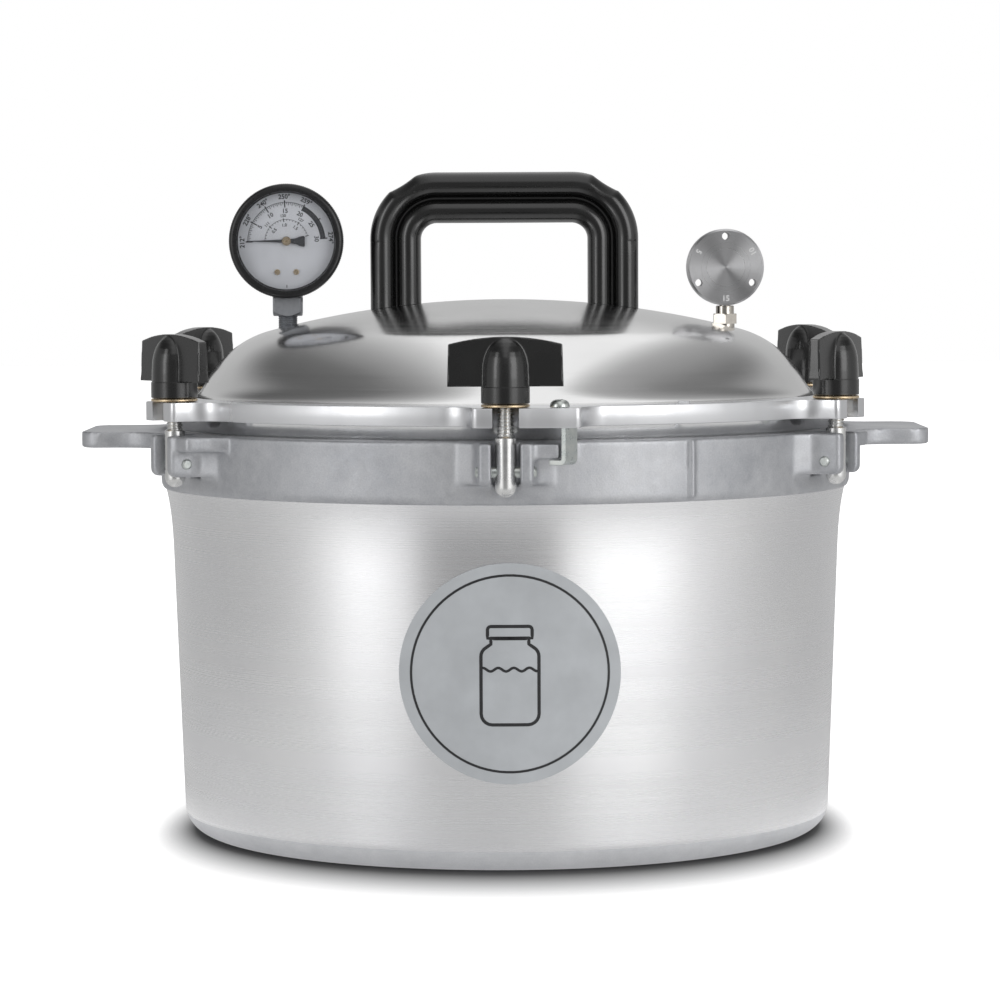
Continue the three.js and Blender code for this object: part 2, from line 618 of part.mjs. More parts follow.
// ---------------------------------------------------------------- vent and weight
function makeVent() {
  const hex = prism(arc(0, 0, 6.4, -90, 210, 5), 244.65, 249.5);
  const pipe = turned([
    [0, 234],
    [4.75, 234],
    [4.75, 245],
    [4.4, 249],
    [4.4, 253.1],
    [NOZZLE_RADIUS, 253.1],
    [NOZZLE_RADIUS, 262],
    [1.8, 263.2],
    [0, 263.2],
  ]);
  const bore = rod(1.2, 230, 270, 8);
  const vent = solidOf(pipe).add(solidOf(hex)).subtract(solidOf(bore));
  add(canner, 'vent_pipe', vent, steel).position.x = VENT_X;

  const half = WEIGHT_THICKNESS / 2;
  const chamfer = 0.6;
  let weight = solidOf(turned([
    [0, -half],
    [WEIGHT_RADIUS - chamfer, -half],
    [WEIGHT_RADIUS, -half + chamfer],
    [WEIGHT_RADIUS, half - chamfer],
    [WEIGHT_RADIUS - chamfer, half],
    [0, half],
  ], DIAL_ROUND));
  for (const angle of [30, 150, 270]) {
    const bored = moved(crosswise(NOZZLE_RADIUS + GAP, 6), WEIGHT_RADIUS - 4.4, 0, 0);
    weight = weight.subtract(solidOf(bored).rotate([0, 0, angle]));
    const eyelet = moved(rod(1.75, -half - 1, half + 1, 12), 15, 0, 0);
    weight = weight.subtract(solidOf(eyelet).rotate([0, 0, angle + 60]));
  }
  const mesh = add(canner, 'regulator_weight', weight, steel);
  mesh.position.set(VENT_X, 0, WEIGHT_Z);
  mesh.rotation.x = Math.PI / 2;
}

// ---------------------------------------------------------------- plug, rack, label
const plugTilt = Math.asin(PLUG_Y / DOME_RADIUS);

function makePlug() {
  const plug = turned([
    [0, -DOME_WALL - 3.4],
    [PLUG_RADIUS, -DOME_WALL - 3.4],
    [PLUG_LIP, -DOME_WALL - 1.4],
    [PLUG_LIP, -DOME_WALL - GAP - 0.2],
    [PLUG_RADIUS, -DOME_WALL - GAP - 0.2],
    [PLUG_RADIUS, GAP + 0.2],
    [8, GAP + 0.2],
    [8, 2],
    [6, 3.6],
    [0, 4.2],
  ]);
  const mesh = add(canner, 'overpressure_plug', solidOf(plug), rubber);
  mesh.position.set(0, PLUG_Y, domeZ(PLUG_Y));
  mesh.rotation.x = -plugTilt;
}

function makeRack() {
  const low = FLOOR_THICKNESS + GAP;
  const top = low + 7;
  const edge = RACK_RADIUS;
  let rack = solidOf(turned([
    [0, top - 1.6],
    [edge - 4, top - 1.6],
    [edge - 2, top - 3.6],
    [edge - 2, low],
    [edge, low],
    [edge, top - 2],
    [edge - 2, top],
    [0, top],
  ], ROUND));
  for (const [count, radius] of [[1, 0], [6, 50], [12, 100]]) {
    for (let i = 0; i < count; i += 1) {
      const hole = moved(rod(9, low, top + 5, 8), radius, 0, 0);
      rack = rack.subtract(solidOf(hole).rotate([0, 0, (360 * i) / count]));
    }
  }
  add(canner, 'canning_rack', rack, cast);
}

function makeLabel() {
  const low = LABEL_Z - 60;
  const high = LABEL_Z + 40 + 12;
  const skin = [
    [sideRadius(low) + GAP, low],
    [sideRadius(low) + GAP + 0.4, low],
    [sideRadius(high) + GAP + 0.4, high],
    [sideRadius(high) + GAP, high],
    [sideRadius(low) + GAP, low],
  ];
  const disc = moved(rod(LABEL_RADIUS, 120, 175, DIAL_ROUND).rotateX(Math.PI / 2), LABEL_X, 0, LABEL_Z);
  add(canner, 'front_label', solidOf(turned(skin, ROUND)).intersect(solidOf(disc)), greyPrint);
}

makeBowl();
makeLid();
makeLockClip();
clampAngles.forEach((angle, i) => makeClamp(i + 1, angle, NUT_TURNS[i]));
makeTopHandle();
makeGauge();
makeVent();
makePlug();
makeRack();
makeLabel();

export default canner;
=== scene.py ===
"""A pressure canner in Blender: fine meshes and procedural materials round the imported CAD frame."""

import json
from math import asin, atan2, ceil, cos, degrees, hypot, pi, radians, sin, sqrt

import bmesh
import bpy
from mathutils import Matrix, Vector


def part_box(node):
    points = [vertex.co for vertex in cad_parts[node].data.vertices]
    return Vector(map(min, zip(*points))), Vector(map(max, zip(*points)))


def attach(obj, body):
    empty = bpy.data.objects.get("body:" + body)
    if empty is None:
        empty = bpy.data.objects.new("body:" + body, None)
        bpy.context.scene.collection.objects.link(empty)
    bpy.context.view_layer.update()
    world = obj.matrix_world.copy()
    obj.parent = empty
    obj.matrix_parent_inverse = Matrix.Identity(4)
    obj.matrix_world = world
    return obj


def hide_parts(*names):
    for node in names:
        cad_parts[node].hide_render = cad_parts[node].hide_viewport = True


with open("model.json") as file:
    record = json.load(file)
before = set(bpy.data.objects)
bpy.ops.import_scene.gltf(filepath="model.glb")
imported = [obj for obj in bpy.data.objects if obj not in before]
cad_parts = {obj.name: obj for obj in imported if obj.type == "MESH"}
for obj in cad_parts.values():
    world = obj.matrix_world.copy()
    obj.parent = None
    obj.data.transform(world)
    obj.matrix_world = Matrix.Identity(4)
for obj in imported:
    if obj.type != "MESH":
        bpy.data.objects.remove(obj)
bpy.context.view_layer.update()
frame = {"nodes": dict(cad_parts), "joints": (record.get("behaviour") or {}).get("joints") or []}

# ---- sizes
# Shapes are drawn in millimetres and scaled to metres when their mesh is made.
MM = 0.001


def high(node, axis):
    """The highest coordinate of a CAD node, in millimetres."""
    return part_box(node)[1][axis] / MM


def low(node, axis):
    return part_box(node)[0][axis] / MM


def middle(node, axis):
    return (high(node, axis) + low(node, axis)) / 2


CLAMPS = 6
PIN = next(joint["pos_m"] for joint in frame["joints"] if joint["name"] == "bolt_swing_1")
BOLT_CIRCLE = -PIN[1] / MM
PIVOT_Z = PIN[2] / MM
NUT_TURNS = (0, 2, -5, 4, 3, 6)  # how far each wing nut is turned on its bolt, in degrees

BAND_TOP = high("bowl", 2)
BAND_BOTTOM = BAND_TOP - 28.7
BAND_RADIUS = 167.6
FLOOR_RADIUS = 157.1
FLOOR_FILLET = 12.6
SIDE_TOP_Z = 135.5
SIDE_TOP_RADIUS = 161.5
MOUTH_RADIUS = 155.6
MOUTH_Z = 184.7
LUG_FACE = -low("bowl", 1)
LUG_BOTTOM = 176.4
SLOT_HALF = 6.45
SLOT_FLOOR = 165.2
LEDGE_BOTTOM = 188.5
LEDGE_RADIUS = 183
SIDE_HANDLE_END = high("bowl", 0)
SIDE_HANDLE_HALF = 40

FLANGE_TOP = 211.1
FLANGE_BOTTOM = 202.3
FLANGE_RADIUS = 168
BOSS_FACE = -low("lid", 1)
BOSS_HALF = 15
FRONT_BOSS_END = 33.5
BOSS_SWEEP = 12.5
BOSS_SLOT_HALF = 5.9
DOME_TOP = high("lid", 2)
DOME_RADIUS = 450
CROWN_EDGE = 114
SHOULDER_RADIUS = 50
SHOULDER_END = 57
DOME_WALL = 6

GAUGE_X = middle("gauge_bezel", 0)
GAUGE_Z = middle("gauge_bezel", 2)
GAUGE_FRONT = -low("gauge_bezel", 1)
BEZEL_RADIUS = 27.8
VENT_X = middle("vent_pipe", 0)
WEIGHT_Z = middle("regulator_weight", 2)
WEIGHT_RADIUS = (high("regulator_weight", 2) - low("regulator_weight", 2)) / 2
WEIGHT_HALF = 8
LABEL_RADIUS = 50
LABEL_X = middle("front_label", 0)
LABEL_Z = middle("front_label", 2)


# ---- mesh code
QUARTER_X, QUARTER_Y, QUARTER_Z = (Matrix.Rotation(pi / 2, 4, axis) for axis in "XYZ")


def polar(radius, angle):
    """The point (x, y) at a radius and an angle, in degrees."""
    a = radians(angle)
    return radius * cos(a), radius * sin(a)


def arc(cx, cy, radius, start, end, steps):
    """Points of an arc about (cx, cy), from one angle to another, in degrees."""
    spokes = [polar(radius, start + (end - start) * i / steps) for i in range(steps + 1)]
    return [(cx + x, cy + y) for x, y in spokes]


def bezier(p0, p1, p2, p3, steps):
    """Points of a cubic curve between p0 and p3."""
    points = []
    for i in range(steps + 1):
        t = i / steps
        weights = ((1 - t) ** 3, 3 * t * (1 - t) ** 2, 3 * t * t * (1 - t), t ** 3)
        points.append(tuple(sum(w * p[k] for w, p in zip(weights, (p0, p1, p2, p3))) for k in (0, 1)))
    return points


def make(name, verts, faces, material, sharp=35.0):
    """A smooth-shaded object from points in millimetres, with edges over an angle kept sharp."""
    mesh = bpy.data.meshes.new(name)
    mesh.from_pydata([Vector(v) * MM for v in verts], [], faces)
    mesh.validate()
    solid = bmesh.new()
    solid.from_mesh(mesh)
    bmesh.ops.remove_doubles(solid, verts=solid.verts, dist=1e-7)
    bmesh.ops.recalc_face_normals(solid, faces=solid.faces)
    solid.to_mesh(mesh)
    solid.free()
    mark_sharp(mesh, sharp)
    piece = linked(name, mesh)
    piece.data.materials.append(material)
    return piece


def revolve(profile, segments):
    """Points and faces of a profile of (radius, height) points turned about Z."""
    verts, faces, rings = [], [], []
    for radius, height in profile:
        if radius < 1e-6:
            rings.append([len(verts)] * segments)
            verts.append((0, 0, height))
            continue
        rings.append(list(range(len(verts), len(verts) + segments)))
        for i in range(segments):
            angle = 2 * pi * i / segments
            verts.append((radius * sin(angle), -radius * cos(angle), height))
    for ring, above in zip(rings, rings[1:]):
        for i in range(segments):
            j = (i + 1) % segments
            face = [ring[i], ring[j], above[j], above[i]]
            kept = [v for k, v in enumerate(face) if v != face[k - 1]]
            if len(kept) > 2:
                faces.append(kept)
    return verts, faces


def turned(name, profile, material, segments=64, sharp=35.0):
    verts, faces = revolve(profile, segments)
    return make(name, verts, faces, material, sharp)


def ring_of(profile):
    return [*profile, profile[0]]


def rod(name, radius, bottom, top, material, segments):
    """A plain cylinder about Z."""
    return turned(name, [(0, bottom), (radius, bottom), (radius, top), (0, top)], material, segments)


def loft(loops):
    """Points and faces of a closed skin through loops that have equally many points."""
    count = len(loops[0])
    verts = [point for loop in loops for point in loop]
    faces = []
    for first in range(0, len(verts) - count, count):
        for i in range(count):
            j = (i + 1) % count
            faces.append([first + i, first + j, first + count + j, first + count + i])
    return verts, [*faces, list(range(count)), list(range(len(verts) - count, len(verts)))]


def rectangle(half_x, half_y):
    """The corners of a rectangle about the origin."""
    return [(-half_x, -half_y), (half_x, -half_y), (half_x, half_y), (-half_x, half_y)]


def prism(name, outline, bottom, top, material, edge=0.0):
    """An outline of (x, y) points raised from one height to another, with rounded edges."""
    count = len(outline)
    verts = [(x, y, z) for z in (bottom, top) for x, y in outline]
    faces = [list(range(count)), list(range(count, 2 * count))]
    for i in range(count):
        j = (i + 1) % count
        faces.append([i, j, count + j, count + i])
    piece = make(name, verts, faces, material)
    if edge:
        bevel = piece.modifiers.new("edge", "BEVEL")
        bevel.width = edge * MM
        bevel.segments = 2
        bevel.limit_method = "ANGLE"
        bevel.angle_limit = radians(30)
        bevel.harden_normals = True
    return piece


def evaluated(piece):
    """A piece's mesh with its modifiers applied, or a curve's filled shape."""
    graph = bpy.context.evaluated_depsgraph_get()
    return bpy.data.meshes.new_from_object(piece.evaluated_get(graph))


def applied(piece):
    """Applies a piece's modifiers."""
    mesh = evaluated(piece)
    piece.modifiers.clear()
    piece.data = mesh


def filled(curve):
    """The points, in millimetres, and the faces of a curve's filled shape."""
    holder = linked(curve.name, curve)
    mesh = evaluated(holder)
    bpy.data.objects.remove(holder)
    return [v.co / MM for v in mesh.vertices], [list(p.vertices) for p in mesh.polygons]


def mark_sharp(mesh, angle=35.0):
    """Shades a mesh smoothly, and keeps the edges over that angle sharp."""
    mesh.polygons.foreach_set("use_smooth", [True] * len(mesh.polygons))
    mesh.set_sharp_from_angle(angle=radians(angle))


def cut(piece, cutter, operation="DIFFERENCE"):
    """Cuts one mesh with another, and removes the second."""
    change = piece.modifiers.new("cut", "BOOLEAN")
    change.operation = operation
    change.solver = "EXACT"
    change.object = cutter
    applied(piece)
    bpy.data.objects.remove(cutter)
    mark_sharp(piece.data)
    return piece


def joined(pieces):
    """Joins pieces into the first one, keeping their places."""
    whole = bmesh.new()
    for piece in pieces:
        mesh = piece.data.copy()
        mesh.transform(piece.matrix_basis)
        whole.from_mesh(mesh)
        bpy.data.meshes.remove(mesh)
    first = pieces[0]
    first.matrix_basis = Matrix.Identity(4)
    whole.to_mesh(first.data)
    whole.free()
    for piece in pieces[1:]:
        bpy.data.objects.remove(piece)
    mark_sharp(first.data)
    return first


def fused(piece, voxel, smooth):
    """Melts overlapping solids into one rounded skin, as in a casting or a moulding."""
    remesh = piece.modifiers.new("skin", "REMESH")
    remesh.mode = "VOXEL"
    remesh.voxel_size = voxel * MM
    remesh.use_smooth_shade = True
    relax = piece.modifiers.new("relax", "SMOOTH")
    relax.factor = 0.5
    relax.iterations = smooth
    material = piece.data.materials[0]
    applied(piece)
    piece.data.materials.clear()
    piece.data.materials.append(material)
    return piece


def place(piece, location=(0, 0, 0), turn=0.0, tilt=0.0):
    """Puts a piece, drawn about the origin, where it belongs, in millimetres and degrees."""
    spin = Matrix.Rotation(radians(turn), 4, "Z") @ Matrix.Rotation(radians(tilt), 4, "X")
    piece.matrix_basis = Matrix.Translation(Vector(location) * MM) @ spin
    return piece


def linked(name, data):
    """A new object in the scene for a mesh, curve, lamp or camera."""
    holder = bpy.data.objects.new(name, data)
    bpy.context.scene.collection.objects.link(holder)
    return holder


def stand_for(piece, body, slot, *nodes):
    """Ties a finished piece to its body and hides the CAD nodes that it replaces; the finish (slot) it is
    given is not used.
    """
    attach(piece, body)
    if nodes:
        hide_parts(*nodes)


def at_clamp(number, points):
    """The places (x, y) of points given beside a clamp, as (sideways, outwards)."""
    angle = 2 * pi * number / CLAMPS
    c, s = cos(angle), sin(angle)
    return [(t * c + r * s, t * s - r * c) for t, r in points]


# ---- materials
class Nodes:
    """A node tree, built in a few calls."""

    def __init__(self, tree):
        self.tree = tree

    def node(self, kind, **inputs):
        made = self.tree.nodes.new(kind)
        for socket, value in inputs.items():
            self.feed(made.inputs[socket.replace("_", " ")], value)
        return made

    def feed(self, socket, value):
        if isinstance(value, bpy.types.NodeSocket):
            self.tree.links.new(value, socket)
        else:
            socket.default_value = value

    def maths(self, operation, a, b=0.0):
        made = self.tree.nodes.new("ShaderNodeMath")
        made.operation = operation
        self.feed(made.inputs[0], a)
        self.feed(made.inputs[1], b)
        return made.outputs[0]

    def weighted(self, *terms):
        """The sum of some values, each times its weight."""
        total = self.maths("MULTIPLY", *terms[0])
        for value, weight in terms[1:]:
            total = self.maths("ADD", total, self.maths("MULTIPLY", value, weight))
        return total

    def square(self, value):
        return self.maths("MULTIPLY", value, value)

    def distance(self, a, b):
        """How far a point at (a, b) is from the origin."""
        return self.maths("SQRT", self.maths("ADD", self.square(a), self.square(b)))

    def split(self, vector):
        """A vector's X, Y and Z."""
        return self.node("ShaderNodeSeparateXYZ", Vector=vector).outputs

    def span(self, value, low_value, high_value, start=0.3, end=0.7):
        """The value between two others, as it goes from a start to an end."""
        made = self.node("ShaderNodeMapRange", Value=value, From_Min=start, From_Max=end,
                         To_Min=low_value, To_Max=high_value)
        return made.outputs[0]

    def ramp(self, value, stops, interpolation="LINEAR"):
        """A colour that changes with a value, through (position, colour) stops."""
        made = self.node("ShaderNodeValToRGB", Fac=value)
        made.color_ramp.interpolation = interpolation
        elements = made.color_ramp.elements
        while len(elements) < len(stops):
            elements.new(0.5)
        for element, (position, colour) in zip(elements, stops):
            element.position = position
            element.color = (*colour, 1)
        return made.outputs[0]


class Shader(Nodes):
    """A material's node tree."""

    def __init__(self, name, colour, roughness, metallic=0.0, **settings):
        self.material = bpy.data.materials.new(name)
        self.material.use_nodes = True
        super().__init__(self.material.node_tree)
        self.bsdf = self.tree.nodes["Principled BSDF"]
        self.set("Base Color", (*colour, 1))
        self.set("Roughness", roughness)
        self.set("Metallic", metallic)
        for socket, value in settings.items():
            self.set(socket.replace("_", " "), value)
        self.height = None

    def set(self, socket, value):
        self.feed(self.bsdf.inputs[socket], value)

    def place(self):
        """The object's own coordinates, in metres."""
        return self.node("ShaderNodeTexCoord").outputs["Object"]

    def stretched(self, scale):
        """Those coordinates, scaled along each axis."""
        return self.node("ShaderNodeMapping", Vector=self.place(), Scale=scale).outputs[0]

    def rings(self):
        """Coordinates that change only with the distance from the Z axis and along it."""
        x, y, z = self.split(self.place())
        return self.node("ShaderNodeCombineXYZ", X=self.distance(x, y), Y=z).outputs[0]

    def noise(self, scale, detail=3.0, roughness=0.55, vector=None):
        vector = self.place() if vector is None else vector
        made = self.node("ShaderNodeTexNoise", Vector=vector, Scale=scale, Detail=detail, Roughness=roughness)
        return made.outputs["Fac"]

    def colours(self, value, first, second, start=0.3, end=0.7):
        return self.ramp(value, [(start, first), (end, second)])

    def rough(self, value, low_value, high_value):
        self.set("Roughness", self.span(value, low_value, high_value))

    def bump(self, value, depth, strength=1.0):
        """Adds relief of that depth, in millimetres."""
        made = self.node("ShaderNodeBump", Height=value, Strength=strength, Distance=depth * MM)
        if self.height is not None:
            self.feed(made.inputs["Normal"], self.height)
        self.height = made.outputs[0]
        self.set("Normal", self.height)

    def turned_grain(self, anisotropy, rotation=0.25):
        """A lathe's finish: the gloss spreads across the circular lines."""
        tangent = self.node("ShaderNodeTangent")
        tangent.direction_type = "RADIAL"
        tangent.axis = "Z"
        self.set("Tangent", tangent.outputs[0])
        self.set("Anisotropic", anisotropy)
        self.set("Anisotropic Rotation", rotation)


def turned_aluminium():
    """The bowl's side: turned, then brushed, with faint bands."""
    s = Shader("turned_aluminium", (0.8, 0.8, 0.81), 0.3, 1.0)
    lines = s.noise(2600, 2, vector=s.rings())
    bands = s.noise(90, vector=s.rings())
    cloud = s.noise(14)
    s.set("Base Color", s.colours(cloud, (0.86, 0.86, 0.875), (0.92, 0.92, 0.925)))
    s.rough(s.weighted((lines, 0.5), (bands, 0.5)), 0.22, 0.32)
    s.bump(lines, 0.0015)
    s.turned_grain(0.5)
    return s.material


def spun_dome():
    """The lid's dome: bright, with streaks that follow the lathe's lines."""
    s = Shader("spun_dome", (0.83, 0.83, 0.83), 0.22, 1.0)
    lines = s.noise(1500, 3, 0.7, vector=s.rings())
    bands = s.noise(160, 2, vector=s.rings())
    cloud = s.noise(20)
    s.set("Base Color", s.colours(cloud, (0.8, 0.8, 0.8), (0.85, 0.85, 0.85)))
    s.rough(lines, 0.11, 0.2)
    s.bump(bands, 0.02, 0.6)
    s.bump(lines, 0.005)
    s.turned_grain(0.7)
    return s.material


def machined_edge():
    """The lid's flange: milled, with fine upright lines round its edge."""
    s = Shader("machined_edge", (0.74, 0.745, 0.76), 0.24, 1.0)
    marks = s.noise(1400, 2, vector=s.stretched((1, 1, 0.04)))
    patches = s.noise(60, vector=s.stretched((1, 1, 0.1)))
    s.rough(patches, 0.26, 0.42)
    s.bump(marks, 0.006)
    s.turned_grain(0.6, 0.0)
    return s.material


def cast_aluminium(name, darker, paler):
    """As it left the mould: matt, grey, with a fine sandy skin."""
    s = Shader(name, darker, 0.5, 0.92)
    sand = s.noise(1300, 3, 0.7)
    skin = s.noise(220, 4, 0.6)
    cloud = s.noise(30, 4, 0.6)
    patches = s.weighted((cloud, 0.45), (skin, 0.25), (sand, 0.3))
    s.set("Base Color", s.colours(patches, darker, paler, 0.36, 0.64))
    s.rough(skin, 0.44, 0.6)
    s.bump(skin, 0.09, 0.5)
    s.bump(sand, 0.09, 0.7)
    return s.material


def phenolic():
    """Glossy black moulding, with a faint orange-peel skin."""
    s = Shader("black_phenolic", (0.005, 0.005, 0.005), 0.25, 0.0, Coat_Weight=0.6, Coat_Roughness=0.16)
    peel = s.noise(260, 2)
    wear = s.noise(45, 4)
    s.rough(wear, 0.2, 0.34)
    s.bump(peel, 0.012, 0.5)
    return s.material


def plated(name, colour, roughness, tint, scale=700, relief=0.004):
    """Plated steel, slightly mottled."""
    s = Shader(name, colour, roughness, 1.0)
    mottle = s.noise(scale, 4, 0.6)
    scratch = s.noise(2500, 2, vector=s.stretched((1, 1, 0.15)))
    s.set("Base Color", s.colours(mottle, colour, tint))
    s.rough(mottle, roughness - 0.06, roughness + 0.08)
    s.bump(scratch, relief)
    return s.material


def faced_steel():
    """The weight's face: turned flat, so the gloss fans out from its centre."""
    s = Shader("faced_steel", (0.6, 0.6, 0.61), 0.3, 1.0)
    lines = s.noise(3200, 2, vector=s.rings())
    s.rough(lines, 0.27, 0.37)
    s.bump(lines, 0.0015)
    s.turned_grain(0.9)
    return s.material


def coated(name, colour, roughness, depth=0.02, scale=900):
    """Paint, print or vinyl with a fine texture."""
    s = Shader(name, colour, roughness)
    grain = s.noise(scale)
    cloud = s.noise(60)
    paler = tuple(min(1, c * 1.08) for c in colour)
    darker = tuple(c * 0.94 for c in colour)
    s.set("Base Color", s.colours(cloud, darker, paler))
    s.rough(grain, roughness - 0.05, roughness + 0.07)
    s.bump(grain, depth, 0.4)
    return s.material


def clear_glass():
    """A thin clear lens: mostly see-through, with a faint gloss."""
    s = Shader("lens_glass", (0.3, 0.32, 0.34), 0.04, 0.0, Alpha=0.07)
    smear = s.noise(80)
    s.rough(smear, 0.02, 0.07)
    return s.material


TURNED = turned_aluminium()
DOME = spun_dome()
EDGE = machined_edge()
CAST = cast_aluminium("cast_aluminium", (0.42, 0.43, 0.455), (0.62, 0.625, 0.64))
# A paler copy of the cast finish for the foot: painted light, standing in for the light it catches off the
# floor.
CAST_FOOT = cast_aluminium("cast_foot", (0.72, 0.73, 0.75), (0.86, 0.865, 0.88))
BLACK = phenolic()
STEEL = plated("bright_steel", (0.72, 0.72, 0.71), 0.24, (0.8, 0.8, 0.79), 90, 0.0008)
ZINC = plated("zinc_plate", (0.52, 0.56, 0.55), 0.3, (0.66, 0.68, 0.65), 260, 0.002)
NICKEL = plated("nickel_plate", (0.47, 0.44, 0.4), 0.16, (0.58, 0.55, 0.5), 260, 0.001)
GREY_STEEL = plated("grey_steel", (0.33, 0.34, 0.36), 0.5, (0.4, 0.41, 0.43))
BRASS = plated("brass", (0.66, 0.52, 0.33), 0.28, (0.74, 0.6, 0.42))
FACED = faced_steel()
RUBBER = coated("rubber", (0.016, 0.016, 0.017), 0.6, 0.05)
PAINT = coated("black_paint", (0.012, 0.012, 0.013), 0.3)
DIAL = coated("dial_white", (0.72, 0.735, 0.78), 0.42, 0.006)
STAMP = coated("stamped_digits", (0.8, 0.8, 0.8), 0.5, 0.004)
PRINT = coated("dial_print", (0.02, 0.02, 0.025), 0.5, 0.004)
LABEL = coated("label_grey", (0.49, 0.51, 0.53), 0.34, 0.01)
LABEL_INK = coated("label_ink", (0.02, 0.02, 0.022), 0.45, 0.004)
RACK = plated("rack_aluminium", (0.7, 0.7, 0.71), 0.3, (0.76, 0.76, 0.77))
GLASS = clear_glass()


# ---- bowl
def side_radius(z):
    share = (z - FLOOR_FILLET) / (SIDE_TOP_Z - FLOOR_FILLET)
    return FLOOR_RADIUS + (SIDE_TOP_RADIUS - FLOOR_RADIUS) * share


def seat_radius(z):
    return MOUTH_RADIUS + (z - MOUTH_Z) * 0.5


def make_bowl_side():
    """The turned wall, from the floor's fillet to the flare under the band, and the inside."""
    fillet = FLOOR_FILLET
    outside = [
        *arc(FLOOR_RADIUS - fillet, fillet, fillet, -12, 0, 3),
        *[(side_radius(z), z) for z in range(20, 136, 8)],
        *bezier((SIDE_TOP_RADIUS, SIDE_TOP_Z), (161.9, 146), (162.5, 157), (165.2, BAND_BOTTOM + 0.6), 10),
        (163.4, BAND_BOTTOM + 2),
        (163.4, BAND_TOP - 2),
        (seat_radius(BAND_TOP - 0.6), BAND_TOP - 0.6),
        (MOUTH_RADIUS, MOUTH_Z),
        *arc(141.6, 16, 10, 0, -90, 6),
        (0, 6),
    ]
    stand_for(turned("bowl_side", outside, TURNED, 256), "canner", "cast_aluminium", "bowl")


def make_bowl_foot():
    """The bottom and its rounded edge keep the cast skin, painted paler than the band's to stand in for the
    light they catch off the floor.
    """
    fillet = FLOOR_FILLET
    foot = [(0, 0.0), *arc(FLOOR_RADIUS - fillet, fillet, fillet, -90, -12, 12), (150, 11), (0, 5)]
    stand_for(turned("bowl_foot", foot, CAST_FOOT, 192), "canner", "cast_aluminium", "bowl")


def lug_pieces(number):
    """One lug as plain solids: two ears with their feet, and the ledge beside them."""
    pieces = []
    near, far = SLOT_HALF, LUG_FACE

    def solid(outline, bottom, top):
        pieces.append(prism("lug", at_clamp(number, outline), bottom, top, CAST))

    for side in (-1, 1):
        flank = [(14.4, 171.5), (22, 166), (22, 162)]
        ear = [(near, 162), (near, far), (11.2, far), (12.1, far - 0.9), (12.7, 176), *flank]
        foot = [(near, 162), (near, far - 1.6), (11.6, far - 1.6), (12.6, 176), *flank]
        solid([(side * t, r) for t, r in ear], LUG_BOTTOM + 2, BAND_TOP)
        solid([(side * t, r) for t, r in foot], LUG_BOTTOM, LUG_BOTTOM + 4)
    hollow = [(24.3, 182), (25.5, 178), (27.5, 171.5), (31, 166), (31, 162)]
    solid([(8, 163), (8, LEDGE_RADIUS), (23.5, LEDGE_RADIUS), *hollow], LEDGE_BOTTOM, BAND_TOP - 0.5)
    return pieces


def side_handle(sign):
    corner = 9
    inset = SIDE_HANDLE_END - corner
    half = SIDE_HANDLE_HALF
    edge = [
        *bezier((161, -58), (170, -46), (172, -41), (184, -half), 8),
        *arc(inset, -half + corner, corner, -90, 0, 8),
    ]
    outline = edge + [(x, -y) for x, y in reversed(edge)]
    return prism("side_handle", [(sign * x, sign * y) for x, y in outline], 187.3, 195, CAST)


def make_bowl_band():
    """The cast band with its lugs, lock ledges, side handles and alignment rib, in one skin."""
    inside, beyond = 161.4, 180
    ring = ring_of([
        (inside, BAND_BOTTOM),
        (BAND_RADIUS - 1.4, BAND_BOTTOM),
        (BAND_RADIUS - 0.4, BAND_BOTTOM + 2.5),
        (BAND_RADIUS, BAND_TOP),
        (inside, BAND_TOP),
    ])
    band = turned("bowl_band", ring, CAST, 192)
    corners = [(-SLOT_HALF, SLOT_FLOOR), (SLOT_HALF, SLOT_FLOOR), (SLOT_HALF, beyond), (-SLOT_HALF, beyond)]
    cutters = [prism("slot", at_clamp(number, corners), LUG_BOTTOM - 0.4, BAND_TOP + 5, CAST)
               for number in range(CLAMPS)]
    cut(band, joined(cutters))
    parts = [band, side_handle(1), side_handle(-1)]
    for number in range(CLAMPS):
        parts += lug_pieces(number)
    rib = at_clamp(0.5, [(-1.5, 164), (1.5, 164), (1.2, 169.6), (-1.2, 169.6)])
    parts.append(prism("rib", rib, BAND_BOTTOM + 1.5, BAND_TOP - 0.4, CAST))
    band = fused(joined(parts), 1.0, 5)
    stand_for(band, "canner", "cast_aluminium", "bowl")


def on_side(x, z, lift):
    """The point of the bowl's front that lies at x and z, lifted off the wall."""
    radius = side_radius(z) + lift
    return x, -sqrt(radius * radius - x * x), z


# ---- lid
CROWN_CENTRE = DOME_TOP - DOME_RADIUS
CROWN_TILT = asin(CROWN_EDGE / DOME_RADIUS)
SHOULDER_X = (DOME_RADIUS - SHOULDER_RADIUS) * sin(CROWN_TILT)
SHOULDER_Z = CROWN_CENTRE + (DOME_RADIUS - SHOULDER_RADIUS) * cos(CROWN_TILT)


def dome_z(radius):
    return CROWN_CENTRE + sqrt(DOME_RADIUS ** 2 - radius ** 2)


def dome_curve(inwards, steps=24):
    tilt = degrees(CROWN_TILT)
    crown = arc(0, CROWN_CENTRE, DOME_RADIUS - inwards, 90, 90 - tilt, steps)
    shoulder = arc(SHOULDER_X, SHOULDER_Z, SHOULDER_RADIUS - inwards, 90 - tilt, 90 - SHOULDER_END, steps)
    return crown + shoulder[1:]


